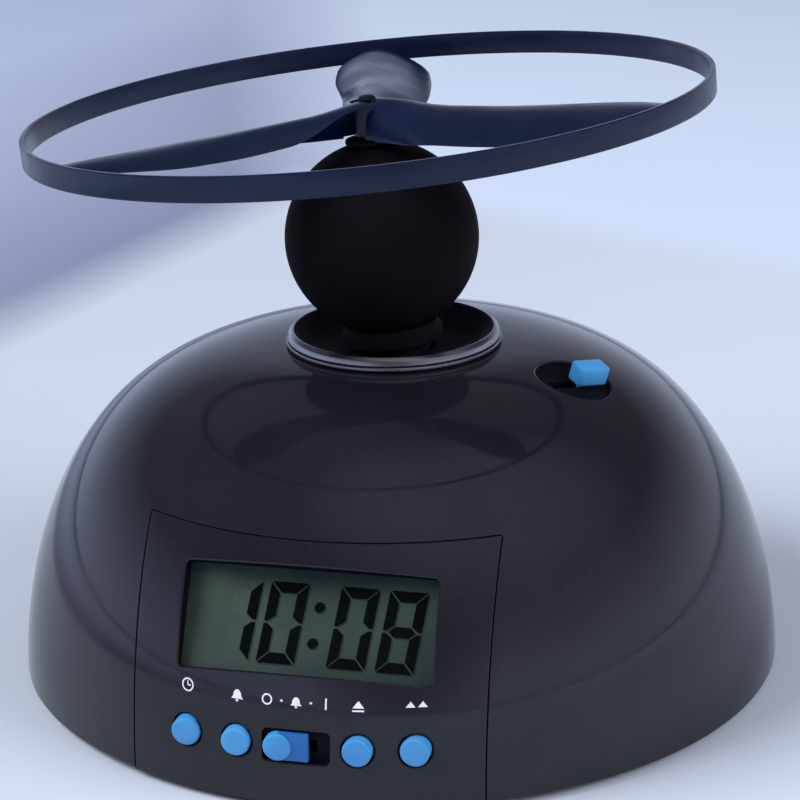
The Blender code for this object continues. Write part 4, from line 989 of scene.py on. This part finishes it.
def alarm_knob():
    """Sliding knob, round at one end and square at the other."""
    place = front_place(0.0, BUTTON_Z) @ Matrix.Translation((-SLIDE_TRAVEL / 2.0, 0.0, 0.0))
    floor = GAP - SLIDE_POCKET
    grip_r = KNOB_HEIGHT / 2.0
    square = block(((KNOB_HEIGHT - KNOB_LENGTH) / 2.0, -grip_r, floor),
                   (KNOB_LENGTH / 2.0, grip_r, KNOB_PROUD), place, KNOB_ROUND)
    join(square, stem_block(STEM_LOW, floor + GAP, place))
    side = grip_r - KNOB_GRIP_INSET
    outline = rounded([(0.0, floor + 0.1, 0.0), (side, floor + 0.1, 0.0), (side, KNOB_GRIP_PROUD, 0.5),
                       (0.0, KNOB_GRIP_PROUD + 0.15, 0.0)])
    grip = turned(outline, SMALL_STEPS, place @ Matrix.Translation((grip_r - KNOB_LENGTH / 2.0, 0.0, 0.0)))
    dress(grip, "alarm_knob_grip", "alarm_slide", "button_blue")
    # Painted shade: the lower square part takes a darker copy of the knob's blue.
    dress(square, "alarm_knob", "alarm_slide", "button_blue", ("alarm_switch_knob",), "knob_blue_painted_shade")


def launch_tab():
    place = launch_place() @ Matrix.Translation((LAUNCH_TRAVEL / 2.0, 0.0, 0.0))
    floor = GAP - LAUNCH_POCKET_DEPTH
    tab = block((-LAUNCH_LENGTH / 2.0, -LAUNCH_WIDTH / 2.0, floor),
                (LAUNCH_LENGTH / 2.0, LAUNCH_WIDTH / 2.0, LAUNCH_PROUD), place, LAUNCH_ROUND, 4)
    join(tab, stem_block(LAUNCH_STEM_LOW, floor + LAUNCH_STEM_OVERLAP, place))
    dress(tab, "launch_tab", "launch_slide", "button_blue", ("launch_knob",))


# Collar and launcher head

def collar():
    """Lip of a bead and a tall rounded band with a groove between them, round the dish and its hole."""
    seat = dome_height(CROWN_HOLE_R) + GAP
    skirt = CROWN_HOLE_R - GAP
    hole = NECK_R + NECK_CLEAR
    dish_r = COLLAR_EDGE_R - DISH_INSET
    top = COLLAR_LIP_Z + COLLAR_TALL
    groove_r = COLLAR_R - COLLAR_GROOVE
    groove_low = seat + COLLAR_BEAD
    groove_high = groove_low + COLLAR_GROOVE_HEIGHT
    corners = [(skirt, seat, 0.0), (COLLAR_R, seat, 0.12), (COLLAR_R, groove_low, 0.25),
               (groove_r, groove_low, 0.05), (groove_r, groove_high, 0.05),
               (COLLAR_R - 0.15, groove_high, 0.15), (COLLAR_R - 0.5, top - 0.6, 0.8),
               (COLLAR_EDGE_R + 0.45, top, 0.45)]
    for part in DISH_PARTS:
        depth = (top - DISH_DROP - COLLAR_FLOOR_Z) * (1.0 - part) ** DISH_POWER
        corners.append((dish_r - (dish_r - COLLAR_FLOOR_R) * part, COLLAR_FLOOR_Z + depth, 0.3))
    corners += [(hole, COLLAR_FLOOR_Z, 0.3), (hole, COLLAR_UNDER_Z, 0.3),
                (skirt - COLLAR_THICK, COLLAR_UNDER_Z, 0.4),
                (skirt, COLLAR_UNDER_Z + COLLAR_THICK / 2.0, 0.4)]
    piece = turned(rounded(corners), ROUND_STEPS)
    dress(piece, "collar", "base", "collar_gloss", ("socket_collar",), "lip_silver", 50.0)
    # Painted shade: the faces of the dish under the ball take the darker matt look of the recesses.
    piece.data.materials.append(LOOKS["recess_painted_shade"])
    piece.data.materials.append(LOOKS["collar_gloss"])
    for face in piece.data.polygons:
        height = face.center.z / MM
        if hypot(face.center.x, face.center.y) / MM < COLLAR_EDGE_R:
            face.material_index = 1
        elif height < seat + 0.05 or groove_low - 0.03 < height < groove_high + 0.03:
            face.material_index = 2


def neck():
    """Stem between the flange under the collar's floor and the shoulder that cups the ball."""
    shoulder = FLOOR_HALF + ROCK_ROOM
    flange = -shoulder - NECK_FLANGE_THICK
    saucer_r = NECK_SHOULDER_R - NECK_SAUCER_DRAW
    saucer_top = BALL_W - ball_drop(saucer_r) - GAP
    ball_low = BALL_W - ball_drop(NECK_R)
    corners = [(NECK_BORE_R, flange, 0.0), (NECK_SHOULDER_R, flange, 0.5), (NECK_SHOULDER_R, -shoulder, 0.4),
               (NECK_R, -shoulder, 0.3), (NECK_R, shoulder, 0.3), (NECK_SHOULDER_R, shoulder, 0.35),
               (NECK_SHOULDER_R, shoulder + (saucer_top - shoulder) * 0.6, 0.5), (saucer_r, saucer_top, 0.25),
               (NECK_R, ball_low - GAP, 0.1), (NECK_R, ball_low + NECK_INSIDE, 0.0),
               (NECK_BORE_R, ball_low + NECK_INSIDE, 0.0)]
    piece = turned(rounded(corners), MIDDLE_STEPS, HEAD_PLACE)
    dress(piece, "neck_stem", "head", "head_matt", ("neck",))


def ball_half(name, node, start):
    """Half of the hollow ball, open at both poles, with a fine step along its seam."""
    outline = []
    for radius, arcs in ((BALL_R, BALL_ARCS), (BALL_R - BALL_WALL, BALL_LINING_ARCS)):
        ends = [asin(BALL_HOLE_LOW_R / radius), pi - asin(BALL_HOLE_TOP_R / radius)]
        if radius < BALL_R:
            ends.reverse()
        outline += [(radius * sin(a), BALL_W - radius * cos(a)) for a in evenly(*ends, arcs)]
    half_gap = GAP / 2.0 / BALL_R
    piece = turned(outline, BALL_STEPS, HEAD_PLACE, start + half_gap, pi - 2.0 * half_gap)
    dress(piece, name, "head", "head_matt", (node,), angle=SOFT_ANGLE)


def bush():
    low = BUSH_SEAT - BUSH_LENGTH
    corners = [(SPINDLE_BORE_R, low, 0.0), (BUSH_SLEEVE_R, low, 0.2), (BUSH_SLEEVE_R, BUSH_SEAT, 0.0),
               (BUSH_R, BUSH_SEAT, 0.15), (BUSH_R, BUSH_TOP, 0.35), (SPINDLE_BORE_R + 1.0, BUSH_TOP, 0.0),
               (SPINDLE_BORE_R, BUSH_TOP, 0.2)]
    piece = turned(rounded(corners), SMALL_STEPS, HEAD_PLACE)
    dress(piece, "spindle_bearing", "head", "head_matt", ("spindle_bush",))


# Rotor

def paddle_at(radius):
    """Half widths, pitch, camber and rise of a paddle at a distance from the axis, eased from its table."""
    near = np.linspace(radius - PADDLE_SOFTNESS, radius + PADDLE_SOFTNESS, PADDLE_SAMPLES)
    stations = np.array(PADDLE)
    return [float(np.interp(near, stations[:, 0], column).mean()) for column in stations[:, 1:].T]


def blade(azimuth):
    """Twisted, arched paddle whose tip runs into the band."""
    form = bmesh.new()
    band_r = RING_R - RING_WALL
    tip_r = sqrt((band_r - GAP) ** 2 - TIP_HALF ** 2)
    rings = []
    for radius in evenly(HUB_R / 2.0, tip_r, BLADE_RINGS):
        lead, trail, degrees, camber, rise = paddle_at(radius)
        pitch = radians(degrees)
        thick = BLADE_THICK * (ROOT_THICKNESS - THICKNESS_FALL * radius / tip_r)
        ring = []
        for turn in round_turn(BLADE_SIDES):
            across = copysign(abs(cos(turn)) ** BLADE_EDGE_POWER, cos(turn))
            along_chord = across * (lead if across > 0.0 else trail)
            over = thick / 2.0 * sin(turn) + camber * (0.5 - across ** 2)
            side = along_chord * cos(pitch) - over * sin(pitch)
            up = along_chord * sin(pitch) + over * cos(pitch)
            out = sqrt((band_r + TIP_OVERLAP) ** 2 - side ** 2) if len(rings) == BLADE_RINGS else radius
            ring.append(form.verts.new((out, side, RING_W + rise + up)))
        rings.append(ring)
    close_rings(form, rings)
    return piece_from(form, HEAD_PLACE @ Matrix.Rotation(azimuth, 4, "Z"))


def propeller():
    """Hub with the paddles, the room for the bush, the square drive bore and the cap's hole."""
    corners = [(0.0, HUB_LOW, 0.0), (HUB_R, HUB_LOW, 0.25), (HUB_R, HUB_TOP, 0.55), (0.0, HUB_TOP, 0.0)]
    hub = turned(rounded(corners), SMALL_STEPS, HEAD_PLACE)
    for turn in round_turn(BLADE_COUNT):
        join(hub, blade(ROTOR_PHASE + turn))
    cut(hub, rod(BUSH_R + 2.0 * GAP, 0.0, HUB_LOW, SMALL_STEPS, HEAD_PLACE))
    half = DRIVE_SIDE / 2.0 + GAP
    cut(hub, block((-half, -half, 0.0), (half, half, HUB_LOW + DRIVE_LENGTH + GAP), HEAD_PLACE))
    cut(hub, rod(CAP_STEM_R + GAP, HUB_TOP - CAP_STEM_LENGTH - GAP, 2.0 * HUB_TOP, SCREW_STEPS, HEAD_PLACE))
    dress(hub, "paddles", "rotor", "rotor_plastic", ("propeller",))


def ring_band():
    low = RING_W - RING_HEIGHT / 2.0
    high = RING_W + RING_HEIGHT / 2.0
    inner = RING_R - RING_WALL
    corners = [(*point, RING_ROUND) for point in ((inner, low), (RING_R, low), (RING_R, high), (inner, high))]
    piece = turned(rounded(corners, 4), RING_STEPS, HEAD_PLACE)
    dress(piece, "ring_band", "rotor", "rotor_plastic", ("rotor_ring",), angle=SOFT_ANGLE)


def cap_pin():
    base = HUB_TOP + GAP
    low = base + GAP - CAP_STEM_LENGTH
    corners = [(0.0, low, 0.0), (CAP_STEM_R, low, 0.15), (CAP_STEM_R, base, 0.0), (CAP_R, base, 0.1),
               (CAP_R, base + 0.4 * CAP_HEIGHT, 0.2), (0.7 * CAP_R, base + 0.85 * CAP_HEIGHT, 0.5),
               (0.0, base + CAP_HEIGHT, 0.0)]
    piece = turned(rounded(corners), SCREW_STEPS, HEAD_PLACE)
    dress(piece, "cap_pin", "rotor", "cap_dark", ("rotor_cap",))


# Underside

def feet():
    high = RIM_Z + FOOT_POCKET - GAP
    corners = [(0.0, FOOT_TREAD, 0.0), (FOOT_TREAD_R, FOOT_TREAD, 0.2), (FOOT_R - 1.0, 0.0, 0.15),
               (FOOT_R, 0.0, 0.35), (FOOT_R, high, 0.1), (0.0, high, 0.0)]
    for name, degrees in FOOT_ANGLES.items():
        piece = turned(rounded(corners), SMALL_STEPS, circle_spot(FEATURE_CIRCLE_R, degrees))
        dress(piece, name + "_pad", "base", "foot_rubber", (name,))


def screws():
    """Cross-head screws in the wells of the base plate."""
    pieces = []
    seat = RIM_Z + BASE_THICK / 2.0
    under = seat - 0.1
    end = seat + SCREW_SHOWN
    corners = [(0.0, RIM_Z - 0.2, 0.0), (SCREW_HEAD_R - 0.5, RIM_Z, 0.3), (SCREW_HEAD_R, under, 0.15),
               (SCREW_CORE_R, under, 0.0), (SCREW_CORE_R, end, 0.2), (0.0, end, 0.0)]
    for degrees in BOSS_ANGLES:
        place = circle_spot(FEATURE_CIRCLE_R, degrees)
        screw = turned(rounded(corners), SCREW_STEPS, place)
        for turn in (0.0, pi / 2.0):
            arm = place @ Matrix.Rotation(radians(degrees) + turn, 4, "Z")
            cut(screw, block((-CROSS_HALF, -CROSS_WIDTH, RIM_Z - CROSS_LOW),
                             (CROSS_HALF, CROSS_WIDTH, RIM_Z + CROSS_TOP), arm))
        pieces.append(screw)
    dress(gather(pieces), "base_screws", "base", "steel")


def dress_cad_nodes():
    """Procedural looks for the CAD nodes that stay."""
    slots = {part["node"]: part["material_slot"] for part in frame["record"]["subparts"]}
    for name, node in frame["nodes"].items():
        if node.hide_render:
            continue
        for slot in node.material_slots:
            slot.material = LOOKS[slots[name]]


# Stage, light and camera

# Floor, with painted shade: tones near the clock, behind it on the left and behind it on the right, each from
# one side to the other, darker behind the clock and darkest on the left. A ramp is a direction, and the
# distances along it where a tone starts and stops changing.
FLOOR_NEAR = ((0.46, 0.51, 0.585), (0.535, 0.595, 0.685))
FLOOR_LEFT_PAINTED_SHADE = ((0.165, 0.180, 0.29), (0.40, 0.46, 0.62))
FLOOR_RIGHT = ((0.55, 0.65, 0.80), (0.57, 0.655, 0.79))
FLOOR_CLOUD = (0.70, 0.76, 0.88)
FLOOR_HALF_SIZE = 4.0
LEFT_WAY = (-0.98, 0.20, 0.0)
RIGHT_WAY = (0.41, 0.912, 0.0)
NEAR_RAMP = ((0.966, 0.259, 0.0), -0.12, 0.12)
LEFT_RAMP = (LEFT_WAY, 0.19, 0.40)
RIGHT_RAMP = (RIGHT_WAY, 0.27, 0.50)
MIDDLE_RAMP = ((0.951, 0.308, 0.0), -0.035, 0.03)
LEFT_EDGE = (LEFT_WAY, 0.178, 0.208)
RIGHT_EDGE = (RIGHT_WAY, 0.258, 0.288)

# Room: tones low down and high up, each from left to right, the tones of the glow overhead and of the dim
# side in front of the clock, and their ramps, which go by the cosine to their direction
ROOM_LOW = ((0.74, 0.85, 1.20), (0.74, 0.80, 1.00))
ROOM_HIGH = ((0.13, 0.14, 0.175), (0.10, 0.10, 0.115))
ROOM_GLOW = (0.55, 0.52, 0.62)
ROOM_DIM = (0.20, 0.21, 0.27)
RISE_RAMP = ((0.0, 0.0, 1.0), 0.08, 0.46)
SIDE_RAMP = ((1.0, 0.0, 0.0), -0.9, 0.5)
GLOW_RAMP = ((0.45, -0.25, 0.86), 0.68, 0.98)
DIM_RAMP = ((0.25, -0.92, 0.30), 0.86, 0.98)

# Lamps: place, size, watts
LAMPS = {"key": ((-1.1, -0.5, 1.1), (1.2, 0.9), 34.0), "fill": ((1.3, -0.3, 0.8), (1.0, 0.8), 18.0)}
LAMP_TARGET = Vector((0.0, 0.0, 0.04))
LAMP_COLOUR = (0.97, 0.98, 1.0)


def along(tree, ramp, space="Object"):
    """0 to 1 along a ramp."""
    way, low, high = ramp
    spot = tree.nodes.new("ShaderNodeTexCoord")
    dot = tree.nodes.new("ShaderNodeVectorMath")
    dot.operation = "DOT_PRODUCT"
    tree.links.new(spot.outputs[space], dot.inputs[0])
    dot.inputs[1].default_value = way
    return spread(tree, dot.outputs["Value"], 0.0, 1.0, low, high)


def floor_looks():
    """Pale floor with painted shade: it turns softly darker behind the clock, and more so on the left."""
    made, tree, shader = start_looks("floor_pale")
    near = blend_colours(tree, along(tree, NEAR_RAMP), *FLOOR_NEAR)
    left = blend_colours(tree, along(tree, LEFT_RAMP), *FLOOR_LEFT_PAINTED_SHADE)
    right = blend_colours(tree, along(tree, RIGHT_RAMP), *FLOOR_RIGHT)
    behind = blend_colours(tree, along(tree, MIDDLE_RAMP), left, right)
    edge = work_out(tree, "MAXIMUM", along(tree, LEFT_EDGE), along(tree, RIGHT_EDGE))
    base = blend_colours(tree, edge, near, behind)
    base = blend_colours(tree, spread(tree, noise_at(tree, 3.0, 2.0), 0.0, 0.10), base, FLOOR_CLOUD)
    worn = spread(tree, noise_at(tree, 8.0), 0.6, 0.75)
    surface(tree, shader, base, worn, noise_at(tree, 260.0), 0.03, 0.0005)
    set_inputs(shader, Specular_IOR_Level=0.2)
    return made


def stage_floor():
    """Floor for the renders, which isn't part of the clock."""
    form = bmesh.new()
    bmesh.ops.create_grid(form, x_segments=8, y_segments=8, size=FLOOR_HALF_SIZE)
    mesh = bpy.data.meshes.new("floor")
    form.to_mesh(mesh)
    form.free()
    mesh.materials.append(floor_looks())
    add_object("floor", mesh)


def lamps():
    """Soft lamps that the gloss doesn't show."""
    for name, (location, size, watts) in LAMPS.items():
        data = bpy.data.lights.new(name, "AREA")
        data.shape = "RECTANGLE"
        data.size, data.size_y = size
        data.energy = watts
        data.color = LAMP_COLOUR
        lamp = add_object(name, data)
        lamp.location = location
        lamp.rotation_euler = (LAMP_TARGET - lamp.location).to_track_quat("-Z", "Y").to_euler()
        lamp.visible_glossy = False


def world_light():
    """Soft room: bright low down, dim high up and in front of the clock, with a glow overhead."""
    world = bpy.data.worlds.new("room")
    bpy.context.scene.world = world
    world.use_nodes = True
    tree = world.node_tree
    rise, side, glow, dim = [along(tree, ramp, "Generated")
                             for ramp in (RISE_RAMP, SIDE_RAMP, GLOW_RAMP, DIM_RAMP)]
    high = blend_colours(tree, glow, blend_colours(tree, side, *ROOM_HIGH), ROOM_GLOW)
    low = blend_colours(tree, dim, blend_colours(tree, side, *ROOM_LOW), ROOM_DIM)
    back = tree.nodes["Background"]
    tree.links.new(blend_colours(tree, rise, low, high), back.inputs["Color"])
    back.inputs["Strength"].default_value = 1.0


# Camera fitted to the photograph: 15 degrees to the panel's right, looking down by 18.9 degrees
CAMERA_SPOT = (0.12137, -0.45298, 0.21040)
CAMERA_TURN = radians(15.0)
CAMERA_PITCH = 0.3301
CAMERA_YAW = 0.0018
CAMERA_ROLL = -0.0248
CAMERA_LENS = 117.52
CAMERA_SENSOR = 36.0
CAMERA_NEAR = 0.01


def camera():
    """Camera at the fitted spot: pitch, yaw and roll are radians against its own heading."""
    spin = Matrix.Rotation(CAMERA_TURN, 3, "Z")
    level = cos(CAMERA_PITCH)
    forward = Vector((sin(CAMERA_YAW) * level, cos(CAMERA_YAW) * level, -sin(CAMERA_PITCH)))
    right = forward.cross(Vector((0.0, 0.0, 1.0))).normalized()
    up = right.cross(forward)
    level_x = right * cos(CAMERA_ROLL) + up * sin(CAMERA_ROLL)
    level_y = up * cos(CAMERA_ROLL) - right * sin(CAMERA_ROLL)
    turn = Matrix((spin @ level_x, spin @ level_y, spin @ -forward)).transposed().to_4x4()
    data = bpy.data.cameras.new("camera")
    data.lens = CAMERA_LENS
    data.sensor_width = CAMERA_SENSOR
    data.clip_start = CAMERA_NEAR
    thing = add_object("camera", data)
    thing.matrix_world = Matrix.Translation(CAMERA_SPOT) @ turn
    bpy.context.scene.camera = thing


dome_shell()
front_panel()
display()
labels()
buttons()
alarm_knob()
launch_tab()
collar()
neck()
ball_half("ball_front_half", "ball_front", pi)
ball_half("ball_rear_half", "ball_rear", 0.0)
bush()
propeller()
ring_band()
cap_pin()
feet()
screws()
dress_cad_nodes()
stage_floor()
world_light()
lamps()
camera()
bpy.context.scene.view_settings.view_transform = "Standard"
